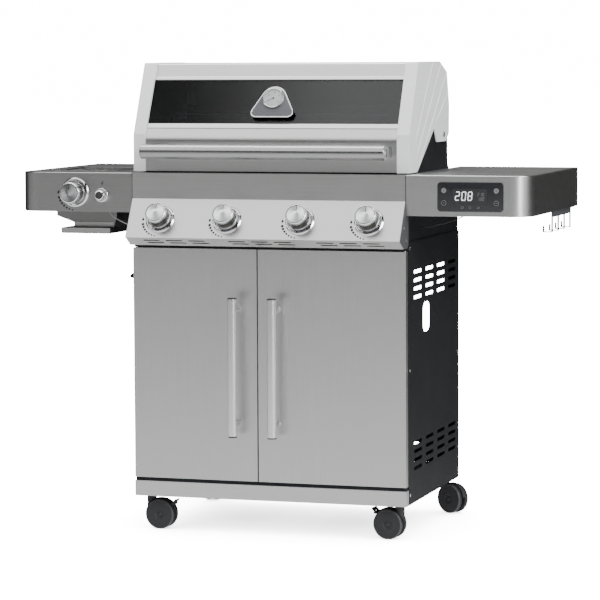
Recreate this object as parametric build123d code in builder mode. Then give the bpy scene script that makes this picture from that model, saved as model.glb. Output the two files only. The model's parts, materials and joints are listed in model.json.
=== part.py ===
from build123d import *
import math
import os

# Gas barbecue grill on a cabinet with two side shelves. Millimetres, +Z up, X to the right.
# Depths (y) are measured from the front face of the cabinet doors, and heights from the floor.
# save() moves each piece back so that the origin is the middle of the footprint.

# ---- driving dimensions -------------------------------------------------------------------
CAB_HALF = 353.5          # half width of the cabinet
SHEET = 2.0               # folded cabinet sheet
SIDE_FRONT = 24.0         # front edge of the side panels
SIDE_BACK = 524.0         # rear face of the cabinet
BASE_Z = 87.5             # underside of the cabinet
FLOOR_Z = 124.0           # top of the cabinet floor
SIDE_TOP = 735.0          # top of the cabinet side panels
SHELF_TOP = 900.0
SHELF_DROP = 99.0         # height of the shelf aprons
SHELF_FRONT = -3.0
SHELF_BACK = 551.0
SHELF_END = 662.0         # half width over both shelves
SHELF_CORNER = 60.0       # radius of the front outer corner
TRAY_HALF = 351.3         # half width of the floor and rails between the side panels
TRAY_BACK = 517.8         # rear edge of the cabinet floor, in front of the back panel
FRAME_IN = 348.5          # inner face of the upper frame sides
FRAME_OUT = 351.0
DOOR_LOW = 135.0
DOOR_HIGH = 713.0
DOOR_SPLIT = -27.0        # where the two doors meet
DOOR_THICK = 20.0
DOOR_PIN = (347.0, 14.0)  # door hinge axis
KNOB_X = (-269.0, -94.0, 94.0, 269.0)
PANEL_TILT = math.degrees(math.atan2(52.0, 94.0))   # slope of the control panel from vertical
LID_HALF = 324.8          # half width of the lid between its cast ends
CAP_OUT = 357.0           # outer face of the cast ends
CAP_IN = 353.5
LID_AXIS = (345.0, 989.0)
LID_TILT = math.degrees(math.atan2(56.0, 108.0))    # slope of the window from vertical
HANDLE_AXIS = (-40.0, 954.0)
HANDLE_HALF = 313.5
WHEEL_R = 38.0
TRAIL = 27.0              # castor axle behind its stem
STEM_X = 325.0
STEM_FRONT = 45.0
STEM_BACK = 490.0
KNOB_FACE = 42.5          # knob face above the panel
PUSH = 3.0                # how far a knob pushes in
FOREMOST = -79.61         # lower edge of the knob faces
MID_DEPTH = (FOREMOST + SHELF_BACK) / 2

os.makedirs("parts", exist_ok=True)


def save(piece, name):
    """Label a finished piece, bring it to the part's origin and write it."""
    shape = piece.part.moved(Location((0, -MID_DEPTH, 0)))
    shape.label = name
    export_step(shape, f"parts/{name}.step")


def slab(x0, x1, y0, y1, z0, z1, mode=Mode.ADD):
    """A box between two corners, in the current part."""
    with Locations(((x0 + x1) / 2, (y0 + y1) / 2, (z0 + z1) / 2)):
        Box(abs(x1 - x0), abs(y1 - y0), abs(z1 - z0), mode=mode)


def rod(start, end, radius, mode=Mode.ADD):
    """A round bar between two points, in the current part."""
    axis = Vector(*end) - Vector(*start)
    with BuildSketch(Plane(origin=start, z_dir=axis.normalized())) as section:
        Circle(radius)
    extrude(section.sketch, amount=axis.length, mode=mode)


def folded(points, gauge, x0, x1, side, radius=None):
    """A sheet folded along (y, z) points and running from x0 to x1, in the current part."""
    with BuildSketch(Plane.YZ.offset(x0)) as section:
        with BuildLine():
            if radius is None:
                Polyline(*points)
            else:
                FilletPolyline(*points, radius=radius)
            offset(amount=gauge, side=side, kind=Kind.INTERSECTION)
        make_face()
    extrude(section.sketch, amount=x1 - x0)


def panel_plane(x):
    """Plane on the sloping control panel, on a knob's axis, looking out of the panel."""
    tilt = math.radians(PANEL_TILT)
    return Plane(origin=(x, -30.66, 786), x_dir=(1, 0, 0), z_dir=(0, -math.cos(tilt), math.sin(tilt)))


def apron_plane(x, z):
    """Plane on the front of a shelf apron, looking forward."""
    return Plane(origin=(x, SHELF_FRONT, z), x_dir=(1, 0, 0), z_dir=(0, -1, 0))


def window_plane(n=0.0):
    """Plane on the sloping lid front: local x across, local y up the slope, origin at the sill."""
    tilt = math.radians(LID_TILT)
    normal = (0, -math.cos(tilt), math.sin(tilt))
    return Plane(origin=(0, 38 + n * normal[1], 1020 + n * normal[2]), x_dir=(1, 0, 0), z_dir=normal)


SIDE_KNOB = apron_plane(-506, 850)
IGNITER = apron_plane(-433, 843.6)

# ---- cabinet ------------------------------------------------------------------------------
VENT_Y = [112.5, 225.5, 338.5, 451.5]
VENT_Z = [659, 638, 617, 596, 235, 214, 193, 172]

for name, hand in (("side_panel_left", -1), ("side_panel_right", 1)):
    outer, inner = hand * CAB_HALF, hand * (CAB_HALF - SHEET)
    with BuildPart() as side_panel:
        slab(inner, outer, SIDE_FRONT, SIDE_BACK, BASE_Z, SIDE_TOP)
        slab(inner, hand * 335, SIDE_FRONT, SIDE_FRONT + SHEET, 136, 713)
        slab(inner, hand * 315, SIDE_BACK - SHEET, SIDE_BACK, BASE_Z, SIDE_TOP)
        with BuildSketch(Plane.YZ.offset(inner - hand)):
            with Locations(*[(y, z) for y in VENT_Y for z in VENT_Z]):
                SlotOverall(76, 9)
            with Locations((194.5, 539.5)):
                RectangleRounded(69, 75, 22)
        extrude(amount=hand * (SHEET + 2), mode=Mode.SUBTRACT)
    save(side_panel, name)

with BuildPart() as frame_sides:
    for x0 in (-FRAME_OUT, FRAME_IN):
        with BuildSketch(Plane.YZ.offset(x0)):
            Polygon((26, 735), (522, 735), (522, 899), (430, 899), (415, 915), (415, 1000), (395, 1012),
                    (300, 1012), (84, 905), (80, 899), (26, 899), align=None)
            with Locations((30.5, 762), (126, 764)):
                Circle(2.1, mode=Mode.SUBTRACT)
        extrude(amount=FRAME_OUT - FRAME_IN)
save(frame_sides, "frame_sides")

with BuildPart() as base_tray:
    slab(-TRAY_HALF, TRAY_HALF, 26, TRAY_BACK, FLOOR_Z - SHEET, FLOOR_Z)
    for x0, x1 in ((-TRAY_HALF, SHEET - TRAY_HALF), (TRAY_HALF - SHEET, TRAY_HALF)):
        slab(x0, x1, 26, TRAY_BACK, BASE_Z, FLOOR_Z)
    for y0, y1 in ((26, 78), (462, 516)):
        slab(SHEET - TRAY_HALF, TRAY_HALF - SHEET, y0, y1, BASE_Z, BASE_Z + 2.5)
        slab(SHEET - TRAY_HALF, TRAY_HALF - SHEET, y0, y0 + SHEET, BASE_Z, FLOOR_Z)
        slab(SHEET - TRAY_HALF, TRAY_HALF - SHEET, y1 - SHEET, y1, BASE_Z, FLOOR_Z)
    with Locations(*[(x, y, 101) for x in (-STEM_X, STEM_X) for y in (STEM_FRONT, STEM_BACK)]):
        Cylinder(9, 27)
    with Locations(*[(x, y, 100.5) for x in (-STEM_X, STEM_X) for y in (STEM_FRONT, STEM_BACK)]):
        Cylinder(5.56, 27, mode=Mode.SUBTRACT)
save(base_tray, "base_tray")

with BuildPart() as plinth_panel:
    slab(-CAB_HALF, CAB_HALF, 0, 1.5, BASE_Z, 126)
    slab(-CAB_HALF, CAB_HALF, 1.5, 22, 124.5, 126)
    for x0, x1 in ((-CAB_HALF, -352), (352, CAB_HALF)):
        slab(x0, x1, 1.5, 23.5, BASE_Z, 126)
    fillet(plinth_panel.edges().filter_by(Axis.X).group_by(Axis.Y)[0].sort_by(Axis.Z)[-1:], 1.2)
save(plinth_panel, "plinth_panel")

with BuildPart() as back_panel:
    slab(-TRAY_HALF, TRAY_HALF, 518, 520, FLOOR_Z, 330)
    slab(-TRAY_HALF, TRAY_HALF, 506, 518, 328, 330)
    with BuildSketch(Plane.XZ.offset(-517)):
        with Locations(*[(x, z) for x in (-210, -70, 70, 210) for z in VENT_Z[4:]]):
            SlotOverall(76, 9)
    extrude(amount=-4, mode=Mode.SUBTRACT)
save(back_panel, "back_panel")

# half length, depth from and to, height from and to, of the front and rear rails
RAILS = [(TRAY_HALF, 4, 44, 715, 735), (TRAY_HALF, 3, 23, 126, 134), (FRAME_IN, 500, 520, 762, 787),
         (TRAY_HALF, 500, 520, 664, 706)]
with BuildPart() as cross_rails:
    for half, y0, y1, z0, z1 in RAILS:
        slab(-half, half, y0, y1, z0, z1)
        slab(SHEET - half, half - SHEET, y0 + SHEET, y1 - SHEET, z0 + SHEET, z1 - SHEET, mode=Mode.SUBTRACT)
save(cross_rails, "cross_rails")

# ---- firebox and what is in it ------------------------------------------------------------
BURNER_Z = 778.0
BURNER_2 = (-512.0, 185.0)   # centre of the side burner
FIRE_FRONT, FIRE_BACK, FIRE_HALF = 30.0, 408.0, 340.0
FIRE_LOW, FIRE_TOP = 748.0, 897.0

with BuildPart() as firebox:
    slab(-FIRE_HALF, FIRE_HALF, FIRE_FRONT, FIRE_BACK, FIRE_LOW, FIRE_TOP)
    slab(-337, 337, FIRE_FRONT + 3, FIRE_BACK - 3, FIRE_LOW + 3, FIRE_TOP + 1, mode=Mode.SUBTRACT)
    slab(-230, 230, 110, 350, FIRE_LOW - 1, FIRE_LOW + 4, mode=Mode.SUBTRACT)
    for hand in (-1, 1):
        slab(hand * FIRE_HALF, hand * FRAME_IN, FIRE_FRONT, FIRE_BACK, FIRE_TOP - 3, FIRE_TOP)
        slab(hand * 254, hand * 256, 60, 405, 710, FIRE_LOW)
        slab(hand * 238, hand * 254, 60, 405, 710, 712)
    slab(-337, 337, FIRE_FRONT + 3, FIRE_FRONT + 12, 868, 871)
    slab(-337, 337, FIRE_BACK - 12, FIRE_BACK - 3, 868, 871)
    for x in KNOB_X:
        rod((x, FIRE_FRONT - 1, BURNER_Z), (x, FIRE_FRONT + 4, BURNER_Z), 14.3, mode=Mode.SUBTRACT)
save(firebox, "firebox")

with BuildPart() as gas_burners:
    for x in KNOB_X:
        rod((x, 31, BURNER_Z), (x, 392, BURNER_Z), 14)
        rod((x, 30, BURNER_Z), (x, 388, BURNER_Z), 12.5, mode=Mode.SUBTRACT)
        slab(x - 4, x + 4, 384, 405, BURNER_Z - 3, BURNER_Z + 3)
    rod((*BURNER_2, 760), (*BURNER_2, 826), 20)
    rod((*BURNER_2, 826), (*BURNER_2, 872), 34)
    rod((*BURNER_2, 872), (*BURNER_2, 880), 30)
save(gas_burners, "gas_burners")

with BuildPart() as flame_tamers:
    for x in KNOB_X:
        with BuildSketch(Plane.XZ.offset(-60)):
            Polygon((x - 62, 808), (x, 846), (x + 62, 808), (x + 59, 808), (x, 844), (x - 59, 808),
                    align=None)
        extrude(amount=-310)
        for y0 in (62, 364):
            for hand in (-1, 1):
                slab(x + hand * 55, x + hand * 59, y0, y0 + 4, 751, 809.2)
save(flame_tamers, "flame_tamers")

with BuildPart() as cooking_grates:
    for middle in (-223.5, 0, 223.5):
        with BuildSketch(Plane.XY.offset(871)):
            with Locations((middle, 219)):
                RectangleRounded(220, 366, 6)
                with GridLocations(17.6, 174, 12, 2):
                    SlotOverall(160, 11.5, rotation=90, mode=Mode.SUBTRACT)
        extrude(amount=13)
    with BuildSketch(Plane.XY.offset(888.7)):
        with Locations(BURNER_2):
            RectangleRounded(158, 182, 8)
            RectangleRounded(142, 166, 5, mode=Mode.SUBTRACT)
    extrude(amount=9)
    with BuildSketch(Plane.XY.offset(888.7)):
        with Locations(BURNER_2):
            for turn in (0, 49, 90, 131):
                Rectangle(260, 8, rotation=turn)
            RectangleRounded(150, 174, 6, mode=Mode.INTERSECT)
            Circle(20, mode=Mode.SUBTRACT)
    extrude(amount=10)
save(cooking_grates, "cooking_grates")

RACK_Y = (150.0, 330.0)
with BuildPart() as warming_rack:
    for y in RACK_Y:
        rod((-300, y, 1040), (300, y, 1040), 3)
    for x in [-298 + 22.923 * i for i in range(27)]:
        rod((x, RACK_Y[0], 1040), (x, RACK_Y[1], 1040), 2)
    for hand in (-1, 1):
        for y in RACK_Y:
            rod((hand * 300, y, 1040), (hand * 343, y, 897), 3)
        slab(hand * 340.2, hand * 347, RACK_Y[0] - 8, RACK_Y[1] + 8, 897, 899)
    slab(-360, 360, 100, 400, 890, 897, mode=Mode.SUBTRACT)
save(warming_rack, "warming_rack")

# ---- gas train ----------------------------------------------------------------------------
with BuildPart() as gas_manifold:
    rod((-320, 12, 752), (330, 12, 752), 9)
    rod((330, 12, 752), (346, 12, 752), 7)
    for plane in [panel_plane(x) for x in KNOB_X] + [SIDE_KNOB]:
        with BuildSketch(plane.offset(-40)):
            Circle(11)
        extrude(amount=28)
    for x in KNOB_X:
        rod((x, 12, 752), (x, 2, 768), 5)
        rod((x, 2, BURNER_Z - 4), (x, 29, BURNER_Z), 4)
    rod((SIDE_KNOB.origin.X, 36, SIDE_KNOB.origin.Z), (SIDE_KNOB.origin.X, 90, SIDE_KNOB.origin.Z), 6)
    for plane in [panel_plane(x) for x in KNOB_X] + [SIDE_KNOB]:
        with BuildSketch(plane.offset(-37)):
            Circle(4.1)
        extrude(amount=26, mode=Mode.SUBTRACT)
save(gas_manifold, "gas_manifold")

# ---- control panel ------------------------------------------------------------------------
with BuildPart() as control_panel:
    folded([(24, 900), (-3, 900), (-3, 836), (-55, 742), (-20, 721), (4, 721)], 1.8, -352, 352, Side.LEFT)
    for x in KNOB_X:
        with BuildSketch(panel_plane(x).offset(-6)):
            Circle(6)
        extrude(amount=12, mode=Mode.SUBTRACT)
    lip = Plane(origin=(0, -37.5, 731.5), x_dir=(1, 0, 0), z_dir=(0, -21 / 40.8, -35 / 40.8))
    with BuildSketch(lip.offset(-4)):
        for middle in (-225, -3, 223.5):
            with Locations(*[(middle + 59 * i - 4, 6) for i in (-1, 0, 1)]):
                SlotOverall(44, 5)
            with Locations(*[(middle + 59 * i + 4, -6) for i in (-1, 0, 1)]):
                SlotOverall(44, 5)
    extrude(amount=8, mode=Mode.SUBTRACT)
save(control_panel, "control_panel")

with BuildPart() as panel_end_plates:
    for x0 in (-354, 352):
        with BuildSketch(Plane.YZ.offset(x0)):
            Polygon((-2.5, 900), (-2.5, 836), (-54, 742.5), (-20, 721.5), (22, 721.5), (22, 900), align=None)
            fillet(vertices().sort_by(Axis.Y)[:2], 14)
        extrude(amount=2)
save(panel_end_plates, "panel_end_plates")

with BuildPart() as knob_bezels:
    for plane in [panel_plane(x) for x in KNOB_X] + [SIDE_KNOB]:
        with BuildSketch(plane):
            Circle(37)
            Circle(6, mode=Mode.SUBTRACT)
        extrude(amount=2)
        with BuildSketch(plane.offset(2)):
            Circle(35.5)
            Circle(30, mode=Mode.SUBTRACT)
        extrude(amount=2.4, taper=30)
    with BuildSketch(IGNITER):
        Circle(17.5)
    extrude(amount=9)
    with BuildSketch(IGNITER):
        Circle(15.8)
    extrude(amount=-24)
    with BuildSketch(IGNITER.offset(9)):
        Circle(13.6)
    extrude(amount=-16, mode=Mode.SUBTRACT)
    with BuildSketch(IGNITER.offset(9)):
        Circle(8.3)
    extrude(amount=-31, mode=Mode.SUBTRACT)
save(knob_bezels, "knob_bezels")

for number, plane in enumerate([panel_plane(x) for x in KNOB_X] + [SIDE_KNOB], 1):
    label = f"{number}" if number <= len(KNOB_X) else "side"
    with BuildPart() as valve_stem:
        with BuildSketch(plane.offset(-30)):
            Circle(4)
        extrude(amount=60)
    save(valve_stem, f"valve_stem_{label}")
    with BuildPart() as knob:
        with BuildSketch(plane.offset(5.5)):
            Circle(28.5)
        extrude(amount=KNOB_FACE - 5.5, taper=4.2)
        fillet(knob.faces().sort_by(SortBy.AREA)[0].edges(), 2.2)
        with BuildSketch(plane.offset(KNOB_FACE)):
            with Locations((0, 16)):
                SlotOverall(15, 1.6, rotation=90)
        extrude(amount=-0.7, mode=Mode.SUBTRACT)
        with BuildSketch(plane):
            Circle(4.06)
        extrude(amount=30.4, mode=Mode.SUBTRACT)
    save(knob, f"knob_{label}")

with BuildPart() as igniter_button:
    with BuildSketch(IGNITER.offset(-15)):
        Circle(8)
    extrude(amount=15)
    with BuildSketch(IGNITER.offset(-1)):
        Circle(13)
    extrude(amount=25)
    fillet(igniter_button.edges().group_by(Axis.Y)[0], 3)
save(igniter_button, "igniter_button")

# ---- side shelves -------------------------------------------------------------------------


def shelf_plan(hand, inset):
    """Outline of a shelf from above, shrunk by inset, in the current sketch."""
    x_in, x_step, x_out = 354.3 + inset, FRAME_OUT + inset, SHELF_END - inset
    front, step, back = SHELF_FRONT + inset, 25 + inset, SHELF_BACK - inset
    corners = [(x_in, front), (x_out, front), (x_out, back), (x_step, back), (x_step, step), (x_in, step)]
    with BuildLine() as outline:
        Polyline(*[(hand * x, y) for x, y in corners], close=True)
    make_face(outline.edges())
    outer = vertices().group_by(Axis.X)[-1 if hand > 0 else 0].sort_by(Axis.Y)
    fillet(outer[0], SHELF_CORNER - inset)
    fillet(outer[-1], 12 - inset)


for name, hand in (("shelf_left", -1), ("shelf_right", 1)):
    with BuildPart() as shelf:
        with BuildSketch(Plane.XY.offset(SHELF_TOP - SHELF_DROP)):
            shelf_plan(hand, 0)
        extrude(amount=SHELF_DROP)
        fillet(shelf.faces().sort_by(Axis.Z)[-1].edges().group_by(Axis.Y)[0], 2.5)
        with BuildSketch(Plane.XY.offset(SHELF_TOP - SHELF_DROP - 1)):
            shelf_plan(hand, SHEET)
        extrude(amount=SHELF_DROP - SHEET + 1, mode=Mode.SUBTRACT)
        slab(hand * 646, hand * (SHELF_END - 1), 70, 530, 801, 803)
        if hand < 0:
            slab(-596, -428, 88, 282, 890, 905, mode=Mode.SUBTRACT)
            with BuildSketch(SIDE_KNOB.offset(-6)):
                Circle(6)
            extrude(amount=12, mode=Mode.SUBTRACT)
            with BuildSketch(IGNITER.offset(-6)):
                Circle(16)
            extrude(amount=12, mode=Mode.SUBTRACT)
        else:
            slab(441, 588, -6, 3, 820, 877, mode=Mode.SUBTRACT)
    save(shelf, name)

with BuildPart() as side_burner_box:
    with BuildSketch(Plane.XZ.offset(-90)):
        Polygon((-594, 898), (-594, 785), (-546, 768), (-546, 757), (-438, 757), (-430, 785), (-430, 898),
                align=None)
    extrude(amount=-190)
    with BuildSketch(Plane.XZ.offset(-91.5)):
        Polygon((-592.5, 900), (-592.5, 786.2), (-544.5, 769.2), (-544.5, 758.5), (-439.1, 758.5),
                (-431.5, 785.3), (-431.5, 900), align=None)
    extrude(amount=-187, mode=Mode.SUBTRACT)
    slab(-598, -426, 84, 284, 900, 901.2)
    slab(-592.5, -431.5, 91.5, 278.5, 899, 902, mode=Mode.SUBTRACT)
    slab(-594, -430, 90, 280, 898, 900)
    slab(-592.5, -431.5, 91.5, 278.5, 897, 902, mode=Mode.SUBTRACT)
    slab(-592.5, -431.5, 91.5, 278.5, 886, 888.7)
    slab(-578, -446, 104, 266, 885, 890, mode=Mode.SUBTRACT)
save(side_burner_box, "side_burner_box")

with BuildPart() as side_burner_shield:
    slab(-571, -438, 62, 250, 742, 756.7)
    slab(-569.5, -439.5, 63.5, 248.5, 743.5, 760, mode=Mode.SUBTRACT)
    fillet(side_burner_shield.edges().filter_by(Axis.Y).group_by(Axis.X)[0].sort_by(Axis.Z)[0], 5)
    slab(-546, -438, 88.5, 90, 756.7, 770)
save(side_burner_shield, "side_burner_shield")

with BuildPart() as display_unit:
    with BuildSketch(apron_plane(514.5, 848.5)):
        RectangleRounded(163, 71, 8)
    extrude(amount=2.6)
    slab(441.5, 587.5, SHELF_FRONT, 20, 820.5, 876.5)
save(display_unit, "display_unit")

HOOK_Y = [302 + 71.7 * i for i in range(4)]
HOOK_HALF = 7.0
with BuildPart() as tool_hooks:
    slab(648, 650, 295, 525, 784, 801)
    slab(650, 658, 295, 525, 799, 801)
    for y in HOOK_Y:
        slab(648, 650, y - HOOK_HALF, y + HOOK_HALF, 749, 784)
        slab(628, 650, y - HOOK_HALF, y + HOOK_HALF, 747, 749)
        slab(626, 628, y - HOOK_HALF, y + HOOK_HALF, 747, 763)
save(tool_hooks, "tool_hooks")

with BuildPart() as bottle_opener:
    slab(-CAB_HALF - 2, -CAB_HALF, 46, 66, 610, 665)
    with BuildSketch(Plane.XZ.offset(-48)):
        Polygon((-355.5, 657), (-380, 640), (-380, 634), (-355.5, 628), align=None)
    extrude(amount=-16)
    slab(-372, -360, 51, 61, 620, 645, mode=Mode.SUBTRACT)
save(bottle_opener, "bottle_opener")

# ---- leads --------------------------------------------------------------------------------


def lead(points, diameter, name):
    """A lead along straight runs joined by arcs as large as the runs allow."""
    spots = [Vector(*p) for p in points]
    radii = []
    for before, here, after in zip(spots, spots[1:], spots[2:]):
        shorter = min((here - before).length, (after - here).length)
        turn = math.radians((here - before).get_angle(after - here))
        radii.append(0.45 * shorter / math.tan(turn / 2))
    with BuildPart() as part:
        with BuildLine() as path:
            FilletPolyline(*spots, radius=radii)
        with BuildSketch(Plane(origin=spots[0], z_dir=(spots[1] - spots[0]).normalized())):
            Circle(diameter / 2)
        sweep()
    save(part, name)


lead([(-433, 21, 843.6), (-433, 36, 843.6), (-434, 46, 834), (-437, 50, 820), (-436, 48, 805),
      (-428, 46, 792), (-415, 43, 783), (-399, 39, 776), (-382, 35, 769.5), (-366, 31.5, 764),
      (-352, 30.4, 762.2), (-343, 30.5, 762)], 3.3, "igniter_lead")
lead([(500, 20, 838), (500, 36, 838), (499, 52, 831), (496, 68, 821), (490, 83, 810), (479, 96, 800.4),
      (465, 107, 792.6), (448, 115, 786), (430, 120, 780), (410, 123, 774.5), (390, 125, 769.5),
      (370, 126.2, 766), (355, 126.1, 764.2), (342, 126, 764)], 3.0, "display_lead")

# ---- lid ----------------------------------------------------------------------------------
SILL, HEAD = -1.0, 124.8     # window opening along the slope
TRIM_LOW = (-11.3, 1.0)
TRIM_HIGH = (122.8, 132.0)
GLASS = 4.0

LID_RUN = math.tan(math.radians(LID_TILT))   # how far the window leans back for each mm of height
with BuildPart() as lid_panels:
    folded([(20, 904), (20, 1020 - 18 / LID_RUN), (38 + 152 * LID_RUN, 1172), (316, 1172), (387, 1146),
            (410, 1061), (408, 990)], 1.5, -LID_HALF, LID_HALF, Side.RIGHT, radius=[40, 12, 20, 20, 15])
    with BuildSketch(window_plane(4)):
        with Locations((0, (SILL + HEAD) / 2)):
            Rectangle(700, HEAD - SILL)
    extrude(amount=-8, mode=Mode.SUBTRACT)
save(lid_panels, "lid_panels")

DIAL = (0.0, 65.0)           # centre of the gauge on the window
with BuildPart() as lid_window:
    with BuildSketch(window_plane(-GLASS)):
        with Locations((0, (SILL + HEAD) / 2)):
            Rectangle(649, HEAD - SILL - 0.6)
        with Locations(DIAL):
            Circle(9, mode=Mode.SUBTRACT)
    extrude(amount=GLASS)
save(lid_window, "lid_window")

with BuildPart() as window_trims:
    for low, high in (TRIM_LOW, TRIM_HIGH):
        with BuildSketch(window_plane()):
            with Locations((0, (low + high) / 2)):
                Rectangle(649, high - low)
        extrude(amount=2.2)
save(window_trims, "window_trims")

with BuildPart() as temperature_gauge:
    with BuildSketch(window_plane(8)):
        with Locations(DIAL):
            Circle(33)
        with Locations((DIAL[0] - 41, DIAL[1] - 37), (DIAL[0] + 41, DIAL[1] - 37)):
            Circle(14)
        make_hull()
    extrude(amount=4)
    with BuildSketch(window_plane(0)):
        with Locations(DIAL):
            Circle(24)
    extrude(amount=8)
    with BuildSketch(window_plane(12)):
        with Locations(DIAL):
            Circle(27)
    extrude(amount=6)
    with BuildSketch(window_plane(14)):
        with Locations(DIAL):
            Circle(24.5)
    extrude(amount=6, mode=Mode.SUBTRACT)
    with BuildSketch(window_plane(-GLASS - 40)):
        with Locations(DIAL):
            Circle(3)
    extrude(amount=GLASS + 41)
    with BuildSketch(window_plane(-GLASS - 6)):
        with Locations(DIAL):
            RegularPolygon(13, 6)
    extrude(amount=6)
save(temperature_gauge, "temperature_gauge")

with BuildPart() as gauge_needle:
    with BuildSketch(window_plane(15)):
        with Locations(DIAL):
            Circle(2.6)
        with BuildLine():
            Polyline((DIAL[0], DIAL[1] + 1.3), (DIAL[0] - 19.5, DIAL[1] - 9.9), (DIAL[0], DIAL[1] - 1.3),
                     close=True)
        make_face()
    extrude(amount=1)
save(gauge_needle, "gauge_needle")

CAP_OUTLINE = [(20, 903), (20, 996), (105, 1172.5), (316, 1173), (387, 1146), (410, 1061), (408, 990),
               (377, 971), (285, 971), (261, 1008), (94, 903)]
CAP_HOLLOW = [(23, 890), (23, 985.8), (119.5, 1169), (315, 1169), (384, 1143.5), (406.5, 1061), (420, 1061),
              (420, 890)]
CAP_RIBS = [((245, 1171), (80.6, 981.3)), ((323, 1164), (96.2, 948.4)), ((378, 1141), (107.9, 915)),
            ((399, 1096), (283, 1023))]
for name, hand in (("lid_cap_left", -1), ("lid_cap_right", 1)):
    with BuildPart() as lid_cap:
        with BuildSketch(Plane.YZ.offset(hand * 325)):
            Polygon(*CAP_OUTLINE, align=None)
            fillet(vertices().filter_by(lambda v: v.X > 100 and v.Y > 960), 9)
            fillet(vertices().filter_by(lambda v: 90 < v.X < 100), 7)
        extrude(amount=hand * (CAP_OUT - 325))
        with BuildSketch(Plane.YZ.offset(hand * 320)):
            Polygon(*CAP_HOLLOW, align=None)
        extrude(amount=hand * (CAP_IN - 320), mode=Mode.SUBTRACT)
        for start, end in CAP_RIBS:
            middle = ((start[0] + end[0]) / 2, (start[1] + end[1]) / 2)
            run = math.hypot(end[0] - start[0], end[1] - start[1])
            angle = math.degrees(math.atan2(end[1] - start[1], end[0] - start[0]))
            with BuildSketch(Plane.YZ.offset(hand * CAP_OUT)):
                with Locations(middle):
                    Rectangle(run - 6, 3, rotation=angle)
            extrude(amount=hand * 1.0)
        with BuildSketch(Plane.YZ.offset(hand * 350)):
            with Locations(LID_AXIS):
                Circle(4.06)
        extrude(amount=hand * 12, mode=Mode.SUBTRACT)
    save(lid_cap, name)

with BuildPart() as lid_handle:
    rod((-HANDLE_HALF, *HANDLE_AXIS), (HANDLE_HALF, *HANDLE_AXIS), 18)
    for hand in (-1, 1):
        slab(hand * 279, hand * HANDLE_HALF, HANDLE_AXIS[0], 20, 940, 968)
        rod((hand * (HANDLE_HALF - 3), *HANDLE_AXIS), (hand * (HANDLE_HALF + 1), *HANDLE_AXIS), 9,
            mode=Mode.SUBTRACT)
        rod((hand * (HANDLE_HALF - 3), *HANDLE_AXIS), (hand * (HANDLE_HALF - 1), *HANDLE_AXIS), 6)
    rod((-276, *HANDLE_AXIS), (276, *HANDLE_AXIS), 16, mode=Mode.SUBTRACT)
save(lid_handle, "lid_handle")

# ---- doors --------------------------------------------------------------------------------
HANDLE_Z = (250.0, 596.0)
for name, hand, x_free, x_bar in (("left", -1, DOOR_SPLIT - 1.5, -78), ("right", 1, DOOR_SPLIT + 1.5, 24)):
    x_pin = hand * DOOR_PIN[0]
    with BuildPart() as door:
        slab(hand * 353, x_free, 0, DOOR_THICK, DOOR_LOW, DOOR_HIGH)
        inset = 1.5 if hand > 0 else -1.5
        slab(hand * 353 - inset, x_free + inset, 1.5, DOOR_THICK - 1.5, DOOR_LOW + 1.5, DOOR_HIGH - 1.5,
             mode=Mode.SUBTRACT)
        slab(hand * 353 - 10 * inset, x_free + 10 * inset, 10, DOOR_THICK + 1, DOOR_LOW + 15, DOOR_HIGH - 15,
             mode=Mode.SUBTRACT)
        rod((x_pin, DOOR_PIN[1], DOOR_LOW - 1), (x_pin, DOOR_PIN[1], DOOR_HIGH + 1), 3.06, mode=Mode.SUBTRACT)
    save(door, f"door_{name}")
    with BuildPart() as door_handle:
        rod((x_bar, -45, HANDLE_Z[0]), (x_bar, -45, HANDLE_Z[1]), 11.5)
        for z in (HANDLE_Z[0] + 30, HANDLE_Z[1] - 30):
            rod((x_bar, -45, z), (x_bar, 0, z), 6.5)
        fillet(door_handle.faces().filter_by(Axis.Z).edges(), 1.5)
    save(door_handle, f"door_handle_{name}")

with BuildPart() as grease_tray:
    slab(-236, 236, 62, 404, 712.3, 742)
    slab(-234.5, 234.5, 63.5, 402.5, 713.8, 743, mode=Mode.SUBTRACT)
    slab(-60, 60, 404, 418, 730, 731.5)
save(grease_tray, "grease_tray")

# ---- castors ------------------------------------------------------------------------------
CASTORS = {"front_left": (-STEM_X, STEM_FRONT, -4.0), "front_right": (STEM_X, STEM_FRONT, 171.5),
           "rear_left": (-STEM_X, STEM_BACK, 90.0), "rear_right": (STEM_X, STEM_BACK, -26.4)}
WEB, WEB_R = 4.9, 41.0      # half thickness and radius of the plate between the wheels
WHEEL_IN, WHEEL_WIDE = 5.7, 13.0
LEVER_ORBIT, LEVER_AT, LEVER_RISE = 43.5, math.radians(38), math.radians(48)
LEVER_HALF, LEVER_BARREL = 13.8, 3.6

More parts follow.
